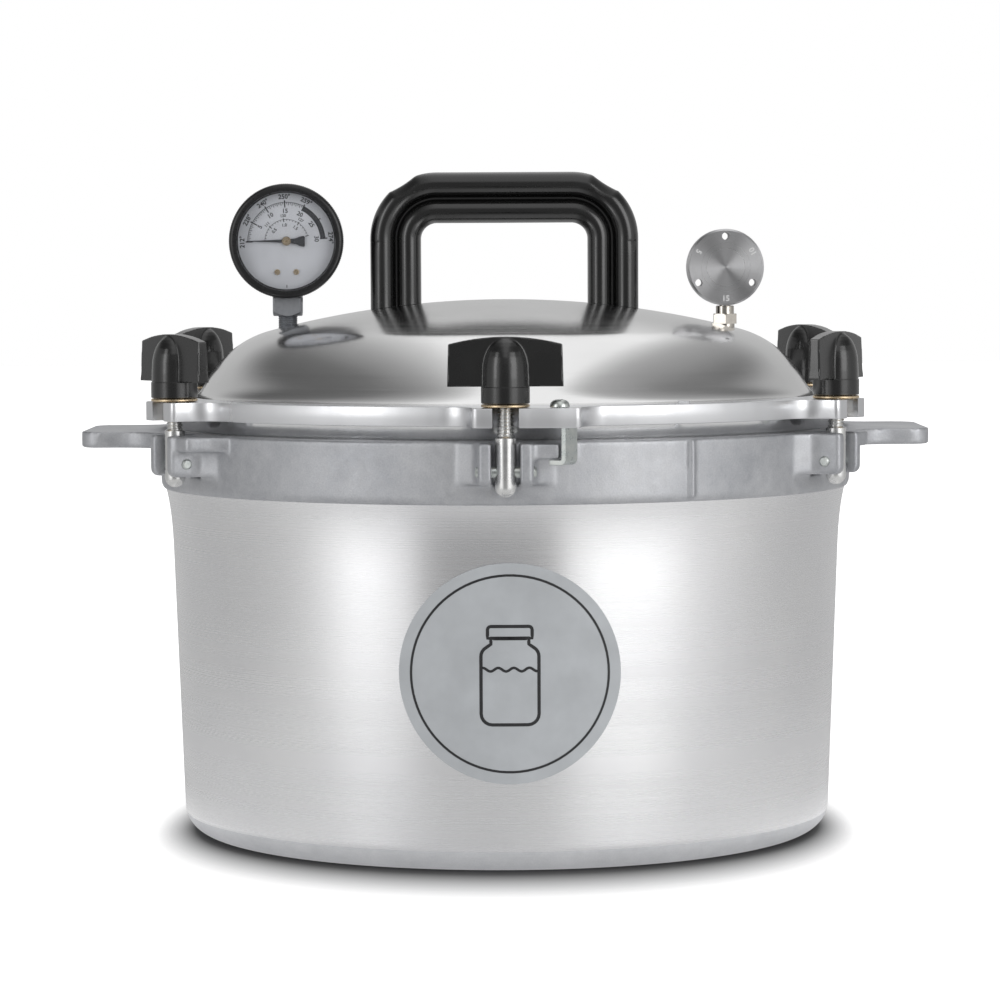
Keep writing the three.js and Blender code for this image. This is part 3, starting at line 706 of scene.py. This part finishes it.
def make_dome():
    """The dome, its flared foot and the skirt that sits in the bowl's mouth."""
    outer = dome_curve(0)
    foot = bezier(outer[-1], (146.4, 216.6), (147.6, FLANGE_TOP + 0.5), (153.2, FLANGE_TOP), 10)[1:]
    seat = seat_radius(FLANGE_BOTTOM) - 0.4
    depth = 16.1
    skirt = [
        (158, FLANGE_TOP - 0.4), (158, FLANGE_BOTTOM), (seat, FLANGE_BOTTOM),
        (seat - depth / 2, FLANGE_BOTTOM - depth),
    ]
    inner = [(150, FLANGE_BOTTOM - depth), (146.5, 206), *reversed(dome_curve(DOME_WALL, 12))]
    profile = [(0, DOME_TOP), *outer[1:], *foot, *skirt, *inner]
    stand_for(turned("lid_dome", profile, DOME, 256, 30), "canner", "polished_aluminium", "lid")


def boss_side(end, sign):
    """Half a boss's outline, from the flange to the middle of its outer face, as (sideways, outwards)."""
    start = end + BOSS_SWEEP
    foot = sqrt(FLANGE_RADIUS ** 2 - start ** 2)
    sweep = bezier((start, foot), (end + 6, foot + 0.9), (end + 0.6, 170.5), (end, 178.5), 10)
    corner = arc(end - 2.6, BOSS_FACE - 2.6, 2.6, 0, 90, 5)
    return [(sign * t, r) for t, r in sweep + corner]


def make_flange():
    """The flat flange with its six slotted bosses."""
    outline = []
    half, foot = BOSS_SLOT_HALF, 166
    for number in range(CLAMPS):
        right_end = FRONT_BOSS_END if number == 0 else BOSS_HALF
        slot = [(-half, BOSS_FACE), *arc(0, BOLT_CIRCLE, half, 180, 360, 12), (half, BOSS_FACE)]
        boss = boss_side(BOSS_HALF, -1) + slot + boss_side(right_end, 1)[::-1]
        start = degrees(atan2(right_end + BOSS_SWEEP, foot))
        end = 60 - degrees(atan2(BOSS_HALF + BOSS_SWEEP, foot))
        rim = arc(0, 0, FLANGE_RADIUS, 90 - start, 90 - end, 12)[1:-1]
        outline += at_clamp(number, boss + rim)
    edge = 0.35
    curve = bpy.data.curves.new("lid_flange", "CURVE")
    curve.dimensions = "2D"
    curve.fill_mode = "BOTH"
    curve.extrude = ((FLANGE_TOP - FLANGE_BOTTOM) / 2 - edge) * MM
    curve.bevel_depth = edge * MM
    curve.bevel_resolution = 1
    curve.offset = -edge * MM
    hole = arc(0, 0, 150, 0, 360 - 360 / 128, 127)
    for points in (outline, hole):
        spline = curve.splines.new("POLY")
        spline.points.add(len(points) - 1)
        for point, (x, y) in zip(spline.points, points):
            point.co = (x * MM, y * MM, 0, 1)
        spline.use_cyclic_u = True
    points, faces = filled(curve)
    verts = [(x, y, z + (FLANGE_TOP + FLANGE_BOTTOM) / 2) for x, y, z in points]
    stand_for(make("lid_flange", verts, faces, EDGE, 25), "canner", "polished_aluminium", "lid")


def make_lid_mark():
    """A small raised arrow on the lid, above the rib on the bowl."""
    angle = 31
    arrow = [(-1, 5), (1, 5), (1, 1.6), (3.4, 1.6), (0, -2.6), (-3.4, 1.6), (-1, 1.6)]
    piece = prism("lid_arrow", arrow, 0, 1.3, EDGE, 0.25)
    x, y = at_clamp(angle / 60, [(0, 158.5)])[0]
    stand_for(place(piece, (x, y, FLANGE_TOP - 0.2), angle), "canner", "polished_aluminium")


# ---- clamps
PITCH = 1.5875
THREAD_START = 198.2
THREAD_RADIUS = 3.98
THREAD_DEPTH = 0.95
BOLT_RADIUS = 4.75
BOLT_BOTTOM = low("swing_bolt_1", 2)
BOLT_TOP = high("swing_bolt_1", 2)


def bolt_radius(z, angle):
    """The bolt's radius: a rounded foot, a plain shank and a real helical thread."""
    drop = BOLT_BOTTOM + BOLT_RADIUS - z
    if drop > 0:
        return BOLT_RADIUS * sqrt(max(0.0, 1 - (drop / BOLT_RADIUS) ** 2))
    if z < THREAD_START:
        return BOLT_RADIUS
    turn = (z / PITCH - angle / (2 * pi)) % 1
    depth = THREAD_DEPTH * (1 - abs(2 * turn - 1))
    fade = min(1, (BOLT_TOP - z) / 1.2)
    return THREAD_RADIUS - depth * min(1, (z - THREAD_START) / 0.8) - (1 - fade) * 0.7


def bolt_mesh():
    """Rings of points from the foot to the top, with an eye cut through for the pin."""
    angles = [2 * pi * i / 32 for i in range(32)]
    heights = [BOLT_BOTTOM + BOLT_RADIUS * (1 - cos(radians(a))) for a in range(10, 91, 10)]
    heights += [186, 196.6, 197.6]
    steps = int((BOLT_TOP - THREAD_START) / (PITCH / 8))
    heights += [THREAD_START + i * (BOLT_TOP - THREAD_START) / steps for i in range(steps + 1)]
    loops = []
    for z in heights:
        radii = [bolt_radius(z, a) for a in angles]
        loops.append([(r * cos(a), r * sin(a), z) for r, a in zip(radii, angles)])
    bolt = make("swing_bolt_1_fine", *loft(loops), STEEL, 50)
    eye = rod("eye", 2.8, -9, 9, STEEL, 32)
    eye.matrix_basis = Matrix.Translation((0, 0, PIVOT_Z * MM)) @ QUARTER_Y
    return cut(bolt, eye)


def nut_mesh():
    """A moulded wing nut: a collar, a bullet-shaped boss and two arched wings."""
    base = low("wing_nut_1", 2)
    top = high("wing_nut_1", 2)
    wing_low = 220.5
    bullet = [
        (0, wing_low - 1), (10.5, wing_low - 1), (10.45, wing_low + 4), (10.1, wing_low + 9.9),
        (9.5, wing_low + 13), (8.6, wing_low + 15.6), (7.4, wing_low + 17.8), (6, wing_low + 19.4),
        (4, wing_low + 20.9), (2, top - 0.5), (0, top - 0.35),
    ]
    body = turned("wing_nut_1_fine", bullet, BLACK, 64)
    tip, columns, draft = 25.72, 28, 0.982
    loops = []
    for i in range(columns + 1):
        x = -tip + 2 * tip * i / columns
        share = abs(x) / tip
        crest = top - 3.3 * share ** 2
        thick = 3.9 - 0.9 * share
        root = [(x, -thick, wing_low), (x, thick, wing_low)]
        loops.append(root + [(x * draft, thick - 0.7, crest), (x * draft, 0.7 - thick, crest)])
    wings = make("wings", *loft(loops), BLACK)
    upper = fused(joined([body, wings]), 0.42, 3)
    rim, bore = wing_low - 0.1, 4.4
    collar = turned("collar", [
        (bore, base), (10.5, base), (10.82, base + 0.3), (10.82, rim - 0.25), (10.5, rim), (bore, rim),
    ], BLACK, 64)
    lining = turned("lining", [(bore, base), (bore, rim)], BLACK, 32)
    return joined([upper, collar, lining])


def make_clamps():
    bolt = bolt_mesh()
    nut = nut_mesh()
    washer_low, washer_high = low("washer_1", 2), high("washer_1", 2)
    washer = turned("washer_1_fine", ring_of([
        (4.5, washer_low), (10.5, washer_low), (10.83, washer_low + 0.3), (10.83, washer_high - 0.3),
        (10.5, washer_high), (4.5, washer_high),
    ]), BRASS, 64)
    end = [(0, 13.7), (1.7, 13.7), (2.4, 13.1), (2.5, 12.6)]
    pin = turned("pivot_pin_1_fine", [(r, -z) for r, z in end] + end[::-1], ZINC, 32)
    pin.data.transform(QUARTER_Y)
    kinds = {
        "swing_bolt": (bolt, "clamp_bolt", "steel"),
        "wing_nut": (nut, "clamp_nut", "black_phenolic"),
        "washer": (washer, "clamp_washer", "brass"),
        "pivot_pin": (pin, "canner", "zinc_steel"),
    }
    for number in range(CLAMPS):
        angle = 360 * number / CLAMPS
        x, y = at_clamp(number, [(0, BOLT_CIRCLE)])[0]
        for kind, (original, body, slot) in kinds.items():
            piece = original if number == 0 else linked(f"{kind}_{number + 1}_fine", original.data)
            turn = angle + (NUT_TURNS[number] if kind == "wing_nut" else 0)
            place(piece, (x, y, PIVOT_Z if kind == "pivot_pin" else 0), turn)
            body = body if body == "canner" else f"{body}_{number + 1}"
            stand_for(piece, body, slot, f"{kind}_{number + 1}")


def make_lock_clip():
    """The bent strip under the front boss, and its cross-head screw."""
    low_z, tab_z = low("lock_clip", 2), high("lock_clip", 2)
    thick, reach, half = 2.3, 7.5, 5
    face, back = -thick / 2, thick / 2
    outside = arc(face + 2.6, low_z + 2.6, 2.6, 180, 270, 5)
    inside = arc(back + 0.6, low_z + thick + 0.6, 0.6, 270, 180, 3)
    outline = [
        (face, tab_z), *outside, (reach, low_z), (reach, low_z + thick), *inside,
        (back, tab_z - thick), (reach + 2, tab_z - thick), (reach + 2, tab_z),
    ]
    clip = prism("lock_clip_fine", outline, -half, half, ZINC, 0.3)
    clip.data.transform(QUARTER_Z @ QUARTER_X)
    place(clip, (28.1, -180.8, 0), 57)
    stand_for(clip, "canner", "zinc_steel", "lock_clip")

    base = FLANGE_TOP + 0.3
    crown = [(4.4, 0), (4.4, 0.7), (4.0, 1.9), (3.1, 2.8), (1.8, 3.25), (0, 3.4)]
    screw = [(0, -8), (1.5, -8), (1.5, 0), *crown]
    head = turned("lock_screw_fine", [(r, base + z) for r, z in screw], ZINC, 48)
    for half_x, half_y in ((2.3, 0.45), (0.45, 2.3)):
        cut(head, prism("cross", rectangle(half_x, half_y), base + 1.6, base + 5, ZINC))
    x, y = middle("lock_screw", 0), middle("lock_screw", 1)
    stand_for(place(head, (x, y, 0), 35), "canner", "zinc_steel", "lock_screw")


# ---- top handle
HANDLE_HALF = high("top_handle", 0)
HANDLE_TOP = high("top_handle", 2)
BAR = 24.5
BEND = 7.8


def lobe(centre, half, root, crest, start, end, steps):
    """A round ridge along the bar, as (across, depth) points."""
    return [(centre + half * x, root + (crest - root) * y) for x, y in arc(0, 0, 1, start, end, steps)]


def handle_section():
    """Half the bar's section, from its outer face to its inner one, as (across, depth)."""
    half = BAR / 2
    outer = [(half, 0), (half, 3), *lobe(6.3, 5.95, 5, 12, 4, 172, 16)]
    inner = [(0.0, 5.4), (-0.7, 5.4), *lobe(-6.4, 5.85, 4, 11, 14, 174, 16)]
    return outer + inner + [(-half, 3), (-half, 0)]


def handle_path():
    """Stations along the bow: (centre x, centre z, outward x, outward z, thinning)."""
    x0 = HANDLE_HALF - BAR / 2
    corner_x = HANDLE_HALF - BAR - BEND
    corner_z = HANDLE_TOP - BAR - BEND
    mid = BEND + BAR / 2
    seam = corner_z - 1.4
    heights = [249, 255, 262, 270, 278, seam - 0.12, seam, seam + 0.12]
    stations = [(x0, z, 1, 0, 0.12 if z == seam else 0) for z in heights]
    for i in range(37):
        angle = 2.5 * i
        dip = sin((angle - 45) / 26 * pi) ** 0.8 if 45 < angle < 71 else 0
        out_x, out_z = polar(1, angle)
        stations.append((corner_x + mid * out_x, corner_z + mid * out_z, out_x, out_z, 1.4 * dip))
    stations += [(x, HANDLE_TOP - BAR / 2, 0, 1, 0) for x in (24, 12, 0)]
    mirrored = [(-x, z, -ox, oz, thin) for x, z, ox, oz, thin in reversed(stations[:-1])]
    return stations + mirrored


def make_top_handle():
    half = handle_section()
    section = half + [(u, -v) for u, v in reversed(half[1:-1])]
    loops = []
    for x, z, ox, oz, thin in handle_path():
        places = [(u - thin if u > 6 else u, v) for u, v in section]
        loops.append([(x + ox * u, v, z + oz * u) for u, v in places])
    handle = make("top_handle_fine", *loft(loops), BLACK, 40)
    ground = [(0, 200), (95, 200), *[(r, dome_z(r) + 0.12) for r in range(95, -1, -5)]]
    cut(handle, turned("ground", ground, BLACK, 128))
    stand_for(handle, "canner", "black_phenolic", "top_handle")


# ---- gauge
def face_front(piece, x, z):
    """Tips a piece that is drawn facing up, so that it faces the front."""
    piece.matrix_basis = Matrix.Translation(Vector((x, 0, z)) * MM) @ QUARTER_X
    return piece


def dial_text(text, size, radius, angle, z, turn=-90):
    """The points and faces of a number on a round face, its foot towards the centre."""
    curve = bpy.data.curves.new("text", "FONT")
    curve.body = text
    curve.size = size * MM
    curve.align_x = "CENTER"
    curve.align_y = "CENTER"
    curve.resolution_u = 3
    curve.offset = 0.025 * size * MM
    points, faces = filled(curve)
    spin = Matrix.Rotation(radians(angle + turn), 3, "Z")
    centre = Vector((*polar(radius, angle), z))
    return [tuple(spin @ point + centre) for point in points], faces


def radial_bar(angle, start, end, width, z):
    """The points and the face of a mark on a dial, between two radii."""
    x, y = polar(1, angle)
    out = Vector((x, y, 0))
    side = Vector((-y, x, 0)) * width / 2
    lift = Vector((0, 0, z))
    corners = ((start, -1), (end, -1), (end, 1), (start, 1))
    return [tuple(out * r + side * s + lift) for r, s in corners], [[0, 1, 2, 3]]


def ring_band(first, last, start, end, z, steps=24):
    """A band of a ring between two angles and two radii."""
    inner, outer = (arc(0, 0, radius, first, last, steps) for radius in (start, end))
    verts = [(x, y, z) for pair in zip(inner, outer) for x, y in pair]
    return verts, [[k, k + 1, k + 3, k + 2] for k in range(0, 2 * steps, 2)]


def gather(shapes):
    """Adds up lists of points and faces."""
    verts, faces = [], []
    for points, polygons in shapes:
        offset = len(verts)
        verts += points
        faces += [[offset + i for i in polygon] for polygon in polygons]
    return verts, faces


def dial_marks(z):
    """Two scales with their numbers, and the arc that marks too much pressure."""
    shapes = []
    for half_psi in range(61):
        psi, major = half_psi / 2, half_psi % 10 == 0
        if psi < 20 or major:
            start, end, width = (16.3, 19.8, 0.6) if major else (17.8 if half_psi % 2 else 17.3, 18.9, 0.32)
            shapes.append(radial_bar(outer_angle(psi), start, end, width, z))
    shapes.append(ring_band(outer_angle(20), outer_angle(0), 18.7, 18.95, z))
    shapes.append(ring_band(outer_angle(30), outer_angle(20), 16.4, 18.9, z))
    for psi, warmth in ((0, 212), (5, 228), (10, 240), (15, 250), (20, 259), (25, None), (30, 274)):
        if psi:
            shapes.append(dial_text(str(psi), 2.9, 14.5, outer_angle(psi), z))
        if warmth:
            shapes.append(dial_text(f"{warmth}\u00b0", 3.1, 21.4, outer_angle(psi), z))
    for tenth in range(21):
        start, end, width = (9.8, 10.5, 0.26) if tenth % 5 else (9.3, 11.1, 0.42)
        shapes.append(radial_bar(inner_angle(tenth / 10), start, end, width, z))
    shapes.append(ring_band(inner_angle(2), inner_angle(0), 10.4, 10.6, z))
    for value, warmth in ((0.5, "111"), (1, "120"), (1.5, "127")):
        shapes.append(dial_text(f"{value:.1f}", 2.1, 7.7, inner_angle(value), z))
        shapes.append(dial_text(warmth, 1.9, 12.3, inner_angle(value), z))
    shapes.append(radial_bar(270, 21.2, 22.6, 0.35, z))
    return gather(shapes)


def outer_angle(psi):
    return 181 - 5.9 * psi


def inner_angle(value):
    return 181 - 83.4 * value


def knurled(piece, radius, depth):
    """Fine ridges round a ring's outer side: every other line of points lies a little deeper."""
    for vert in piece.data.vertices:
        reach = hypot(vert.co.x, vert.co.y)
        turn = degrees(atan2(vert.co.y, vert.co.x))
        if reach > radius * MM and round(turn) % 2:
            vert.co.x *= 1 - depth * MM / reach
            vert.co.y *= 1 - depth * MM / reach


def make_gauge():
    radius, front = BEZEL_RADIUS, GAUGE_FRONT
    bezel = turned("gauge_bezel_fine", ring_of([
        (27.15, 7.6), (radius - 0.2, 7.6), (radius, 7.9), (radius, front - 3.2),
        *arc(radius - 2.4, front - 2.4, 2.4, 10, 90, 6), (radius - 3.6, front - 0.1),
        (23.6, front - 1.5), (23.3, front - 2.2), (23.3, 12.1), (27.15, 12.1),
    ]), PAINT, 360)
    knurled(bezel, radius - 0.25, 0.22)
    case = turned("gauge_case_fine", [
        (0, -10), (22, -10), *arc(24.8, -8, 2, -90, 0, 5), (26.8, 10.2), (25.4, 10.2),
        (25.4, -8.6), (0, -8.6),
    ], PAINT, 96)
    lens = rod("gauge_lens_fine", 26.5, 10.6, 11.9, GLASS, 96)
    dial = turned("gauge_dial_fine", ring_of([(1.5, 6.5), (24.7, 6.5), (24.7, 7.3), (1.5, 7.3)]), DIAL, 96)
    marks = make("dial_print", *dial_marks(7.36), PRINT)
    needle = [(-19.3, 0.12), (-19.3, -0.12), (-8, -0.5), (0, -0.85), (2.6, -1.05), (4.4, -1.4), (6.4, -2.35)]
    tail = [(8.3, -2.8), (8.9, -2.4), (8.9, 2.0), (8.3, 2.45), (6.4, 2.1), (4.4, 1.3), (2.6, 1.05)]
    pointer = prism("gauge_pointer_fine", [*needle, *tail, (0, 0.85), (-8, 0.5)], 8.2, 8.7, PRINT, 0.08)
    hub = turned("gauge_hub", [
        (0, 7.8), (2.2, 7.8), (2.2, 9.1), (1.9, 9.4), (0.7, 9.45), (0.6, 9.2), (0, 9.2),
    ], BRASS, 48)
    pieces = (
        (bezel, "canner", "gauge_black", "gauge_bezel"),
        (case, "canner", "gauge_black", "gauge_case"),
        (lens, "canner", "lens", "gauge_lens"),
        (dial, "canner", "dial_face", "gauge_dial"),
        (marks, "canner", "pointer_black"),
        (pointer, "pointer", "pointer_black", "gauge_pointer"),
        (hub, "pointer", "brass", "gauge_pointer"),
    )
    for piece, *ties in pieces:
        stand_for(face_front(piece, GAUGE_X, GAUGE_Z), *ties)


def make_gauge_stem():
    """A square stem with chamfered corners over a threaded nipple, and the block it screws into."""
    half = 7
    stem = prism("gauge_stem_fine", rectangle(half, 6.9), 249.4, 258.2, GREY_STEEL)
    neck = turned("neck", [(0, 246.4), (5.6, 248.4), (9.3, 251.4), (9.3, 258), (0, 260)], GREY_STEEL, 48)
    cut(stem, neck, "INTERSECT")
    thread = [(0, 236)]
    for i in range(15):
        z = 236 + i * 0.9
        thread += [(4.3, z), (4.75, z + 0.45)]
    nipple = turned("nipple", [*thread, (4.3, 249.6), (0, 249.6)], GREY_STEEL, 48)
    inlet = prism("inlet", rectangle(half, 5.3), 256, 266.6, GREY_STEEL)
    piece = joined([stem, nipple, inlet])
    stand_for(place(piece, (GAUGE_X, 0, 0)), "canner", "nickel_steel", "gauge_stem")


def repaint(material, *nodes):
    """Gives CAD pieces that keep their shapes a finer material."""
    for node in nodes:
        materials = frame["nodes"][node].data.materials
        materials.clear()
        materials.append(material)


# ---- vent and weight
def make_vent():
    top = high("vent_pipe", 2)
    hexagon = prism("vent_pipe_fine", arc(0, 0, 6.35, -90, 210, 5), 244.65, 249.5, NICKEL)
    chamfer = [(0, 243), (5.9, 243.9), (6.5, 245.2), (6.5, 248.8), (5.7, 249.6), (0, 250)]
    cut(hexagon, turned("hex_chamfer", chamfer, NICKEL, 48), "INTERSECT")
    pipe = turned("pipe", ring_of([
        (1.2, 235), (4.7, 235), (4.7, 245), (4.4, 249), (4.4, 253.1), (4.1, 253.4), (2.7, 253.4),
        (2.7, top - 1), (1.9, top), (1.2, top),
    ]), NICKEL, 48)
    stand_for(place(joined([hexagon, pipe]), (VENT_X, 0, 0)), "canner", "nickel_steel", "vent_pipe")


def make_weight():
    """A disc with three bores in its rim, three small holes and a number for each bore."""
    radius, half, edge = WEIGHT_RADIUS, WEIGHT_HALF, 0.9
    disc = turned("regulator_weight_fine", [
        (0, -half), (radius - edge, -half), (radius, -half + edge),
        (radius, half - edge), (radius - edge, half), (0, half),
    ], FACED, 128)
    cutters = []
    for angle in (30, 150, 270):
        eyelet = rod("eyelet", 1.8, -9, 9, FACED, 24)
        eyelet.data.transform(Matrix.Translation((*polar(15 * MM, angle + 60), 0)))
        bore = rod("bore", 3.05, -6, 7, FACED, 24)
        outwards = Matrix.Translation(((radius - 4.4) * MM, 0, 0)) @ QUARTER_Y
        bore.data.transform(Matrix.Rotation(radians(angle), 4, "Z") @ outwards)
        cutters += [eyelet, bore]
    cut(disc, joined(cutters))
    numbers = [dial_text(number, 3.8, 15.2, angle, half + 0.03, -270)
               for angle, number in ((270, "15"), (30, "10"), (150, "5"))]
    stamps = make("weight_numbers", *gather(numbers), STAMP)
    stand_for(face_front(disc, VENT_X, WEIGHT_Z), "weight", "turned_steel", "regulator_weight")
    stand_for(face_front(stamps, VENT_X, WEIGHT_Z), "weight", "turned_steel")


# ---- small pieces
def make_plug():
    """A rubber plug in the back of the dome, square to its slope."""
    back = 104
    tilt = degrees(asin(back / DOME_RADIUS))
    profile = [
        (0, -9.4), (5.2, -9.4), (5.6, -9.2), (7.3, -7.5), (7.35, -6.6), (5.6, -6.55), (5.6, 0.5), (7.4, 0.5),
        (7.9, 0.8), (7.9, 1.8), *arc(4.4, 1.0, 3.2, 20, 80, 5), (3, 4.0), (2.6, 3.4), (0, 3.3),
    ]
    plug = turned("overpressure_plug_fine", profile, RUBBER, 48)
    place(plug, (0, back, dome_z(back)), 0, -tilt)
    stand_for(plug, "canner", "black_rubber", "overpressure_plug")


def make_label():
    """A plain round sticker with a ring and a picture of a preserving jar."""
    steps, count, lift = 24, 96, 0.62
    rings = [(LABEL_RADIUS * i / steps, lift) for i in range(1, steps + 1)] + [(LABEL_RADIUS, 0.05)]
    verts, faces = [on_side(LABEL_X, LABEL_Z, lift)], []
    for radius, height in rings:
        for i in range(count):
            x, z = polar(radius, 360 * i / count)
            verts.append(on_side(LABEL_X + x, LABEL_Z + z, height))
    for i in range(count):
        j = (i + 1) % count
        faces.append([0, 1 + i, 1 + j])
        for a in range(1, steps * count, count):
            faces.append([a + i, a + count + i, a + count + j, a + j])
    label = make("front_label_fine", verts, faces, LABEL)
    stand_for(label, "canner", "label_grey", "front_label")
    stand_for(make("label_print", *label_print(), LABEL_INK), "canner", "label_grey")


def close_set(points, closed, step=1.5):
    """The same line, with points close enough together to follow the bowl's curve."""
    result = []
    ends = points[1:] + points[:1] if closed else points[1:]
    for (x, z), (next_x, next_z) in zip(points, ends):
        parts = max(1, ceil(hypot(next_x - x, next_z - z) / step))
        result += [(x + (next_x - x) * i / parts, z + (next_z - z) * i / parts) for i in range(parts)]
    return result if closed else result + points[-1:]


def label_stroke(points, width, closed=False):
    """A line of that width along points on the label, as a flat strip on the bowl's front."""
    verts, faces = [], []
    points = close_set(points, closed)
    count = len(points)
    for i, (x, z) in enumerate(points):
        before = points[i - 1] if i or closed else points[i]
        after = points[(i + 1) % count] if i < count - 1 or closed else points[i]
        along = Vector((after[0] - before[0], after[1] - before[1])).normalized()
        for side in (-0.5, 0.5):
            px, pz = x - along.y * width * side, z + along.x * width * side
            verts.append(on_side(LABEL_X + px, LABEL_Z + pz, 0.68))
        if i:
            faces.append([2 * i - 2, 2 * i - 1, 2 * i + 1, 2 * i])
    if closed:
        faces.append([2 * count - 2, 2 * count - 1, 1, 0])
    return verts, faces


def label_print():
    """A ring round the label, and a jar: its body, its lid and what it holds."""
    ring = arc(0, 0, 44.5, 0, 356, 89)
    half = [(8.5, 16), (8.5, 13.5), *arc(8.5, 8, 4.5, 60, 0, 4), *arc(8, -18, 5, 0, -90, 5)]
    jar = half + [(-x, z) for x, z in reversed(half)]
    cap = [*arc(8.5, 20, 1.5, 90, 0, 3), (10, 16.2), (-10, 16.2), *arc(-8.5, 20, 1.5, 180, 90, 3)]
    level = [(x / 2, 2 + 0.8 * sin(x * 0.45)) for x in range(-25, 26)]
    shapes = [label_stroke(ring, 1.1, True), label_stroke(jar, 1.5, True)]
    shapes += [label_stroke(cap, 1.5, True), label_stroke(level, 1.2)]
    return gather(shapes)


# ---- stage
def make_floor():
    """A pale sweep that the camera sees as white, except close to the canner, where a painted shadow darkens
    its colour and glow; reflections see a painted glow round the canner's foot instead.
    """
    s = Shader("floor", (0.6, 0.6, 0.6), 0.8)
    x, y, _ = s.split(s.place())
    radius = s.distance(x, y)
    # Painted contact shadow: the colour and the camera-seen glow darken towards the canner's foot, over a
    # longer reach in front and behind than at the sides.
    depth = s.maths("DIVIDE", s.square(y), s.square(radius))
    reach = s.maths("ADD", s.maths("MULTIPLY", depth, 0.078), 0.028)
    fade = s.maths("DIVIDE", s.maths("SUBTRACT", radius, 0.15), reach)
    painted_shadow = s.maths("ADD", fade, s.maths("MULTIPLY", s.noise(3, 2), 0.02))
    s.set("Base Color", s.colours(painted_shadow, (0.03, 0.03, 0.03), (0.72, 0.72, 0.72), 0, 0.9))
    s.set("Emission Color", s.colours(painted_shadow, (0.99, 0.99, 1.0), (1, 1, 1)))
    seen = s.node("ShaderNodeLightPath").outputs["Is Camera Ray"]
    near = s.span(radius, 1, 0, 0.45, 0.75)
    # Painted glow, seen only in reflections: the floor shines brighter round the canner's foot, so the foot
    # looks lit from below.
    mirrored = s.maths("ADD", s.maths("MULTIPLY", near, 0.13), s.span(radius, 0.28, 0, 0.17, 0.24))
    direct = s.maths("MULTIPLY", seen, s.maths("SMOOTH_MIN", s.span(fade, 0, 1.15, 0.08, 1.1), 0.95))
    painted_glow = s.maths("MULTIPLY", s.span(seen, 1, 0, 0, 1), mirrored)
    s.set("Emission Strength", s.maths("ADD", direct, painted_glow))
    s.set("Alpha", s.maths("MAXIMUM", seen, near))
    corners = [(x, y, 0) for x, y in rectangle(8000, 8000)]
    floor = make("floor", corners, [[0, 1, 2, 3]], s.material)


# How bright the studio's walls are, by the angle from the front towards the right.
WALLS = ((-180, 0.55), (-140, 0.48), (-100, 0.43), (-74, 0.58), (-62, 0.88), (-50, 1.12), (-38, 1.1),
         (-32, 0.85), (-28, 0.35), (-20, 0.25), (0, 0.26), (14, 0.25), (18, 0.3), (22, 1.2), (30, 1.5),
         (46, 1.35), (64, 0.85), (95, 0.5), (130, 0.46), (180, 0.55))
# How bright the ceiling is, by the distance to the right for each metre up.
CEILING = ((-2, 0.4), (-1.5, 0.1), (-0.7, 0.13), (-0.4, 0.38), (-0.22, 0.62), (-0.08, 1.2), (0.1, 1.4),
           (0.25, 1.35), (0.36, 0.75), (0.5, 0.4), (0.75, 0.32), (1.0, 0.2), (1.5, 0.15), (2, 0.5))


def make_world():
    """A soft studio all round: its walls' and ceiling's brightness changes with the direction."""
    world = bpy.data.worlds.new("studio")
    bpy.context.scene.world = world
    world.use_nodes = True
    world.node_tree.nodes.clear()
    w = Nodes(world.node_tree)
    x, y, z = w.split(w.node("ShaderNodeTexCoord").outputs["Generated"])
    azimuth = w.maths("ARCTAN2", x, w.maths("MULTIPLY", y, -1))
    around = w.span(azimuth, 0, 1, -pi, pi)
    walls = w.ramp(around, [((angle + 180) / 360, 3 * (grey,)) for angle, grey in WALLS], "B_SPLINE")
    across = w.span(w.maths("DIVIDE", x, w.maths("MAXIMUM", z, 0.1)), 0, 1, -2, 2)
    ceiling = w.ramp(across, [((x + 2) / 4, 3 * (grey,)) for x, grey in CEILING], "B_SPLINE")
    up = w.node("ShaderNodeMapRange", Value=z, From_Min=0.3, From_Max=0.6)
    up.interpolation_type = "SMOOTHSTEP"
    mix = w.node("ShaderNodeMix")
    mix.data_type = "RGBA"
    for socket, value in ((0, up.outputs[0]), (6, walls), (7, ceiling)):
        w.feed(mix.inputs[socket], value)
    room = w.node("ShaderNodeBackground", Color=mix.outputs[2])
    backdrop = w.node("ShaderNodeBackground", Color=(1, 1, 1, 1))
    seen = w.node("ShaderNodeLightPath").outputs["Is Camera Ray"]
    choose = w.node("ShaderNodeMixShader")
    for socket, value in zip(choose.inputs, (seen, room.outputs[0], backdrop.outputs[0])):
        w.feed(socket, value)
    w.node("ShaderNodeOutputWorld", Surface=choose.outputs[0])


def make_lights():
    """Two soft boxes in front, aimed at the canner."""
    target = Vector((0, 0, 0.15))
    boxes = (("left_box", (-1.35, -1.25, 0.75), 0.45, 4), ("right_box", (1.15, -1.35, 0.75), 0.9, 7))
    for name, location, width, power in boxes:
        light = bpy.data.lights.new(name, "AREA")
        light.shape = "RECTANGLE"
        light.size, light.size_y = width, 1.2
        light.energy = power
        holder = linked(name, light)
        holder.location = location
        holder.rotation_euler = (target - Vector(location)).to_track_quat("-Z", "Y").to_euler()


def make_camera():
    """The height, distance and lens of the reference view, looking slightly down."""
    camera = bpy.data.cameras.new("camera")
    camera.lens = 138.96
    camera.sensor_width = 36
    holder = linked("camera", camera)
    holder.location = (-0.0021, -1.882, 0.2781)
    tilt, roll = 3.62, 0.27
    holder.rotation_euler = (radians(90 - tilt), radians(roll), 0)
    bpy.context.scene.camera = holder


make_camera()
make_world()
make_lights()
make_floor()
make_bowl_side()
make_bowl_foot()
make_bowl_band()
make_dome()
make_flange()
make_lid_mark()
make_clamps()
make_lock_clip()
make_top_handle()
make_gauge()
make_gauge_stem()
make_vent()
make_weight()
make_plug()
make_label()
repaint(BRASS, "gauge_frame", "gauge_sector", "gauge_pinion", "bourdon_tube", "dial_screw_1", "dial_screw_2")
repaint(RACK, "canning_rack")
repaint(STEEL, "handle_screw_1", "handle_screw_2")
bpy.context.scene.view_settings.view_transform = "Standard"
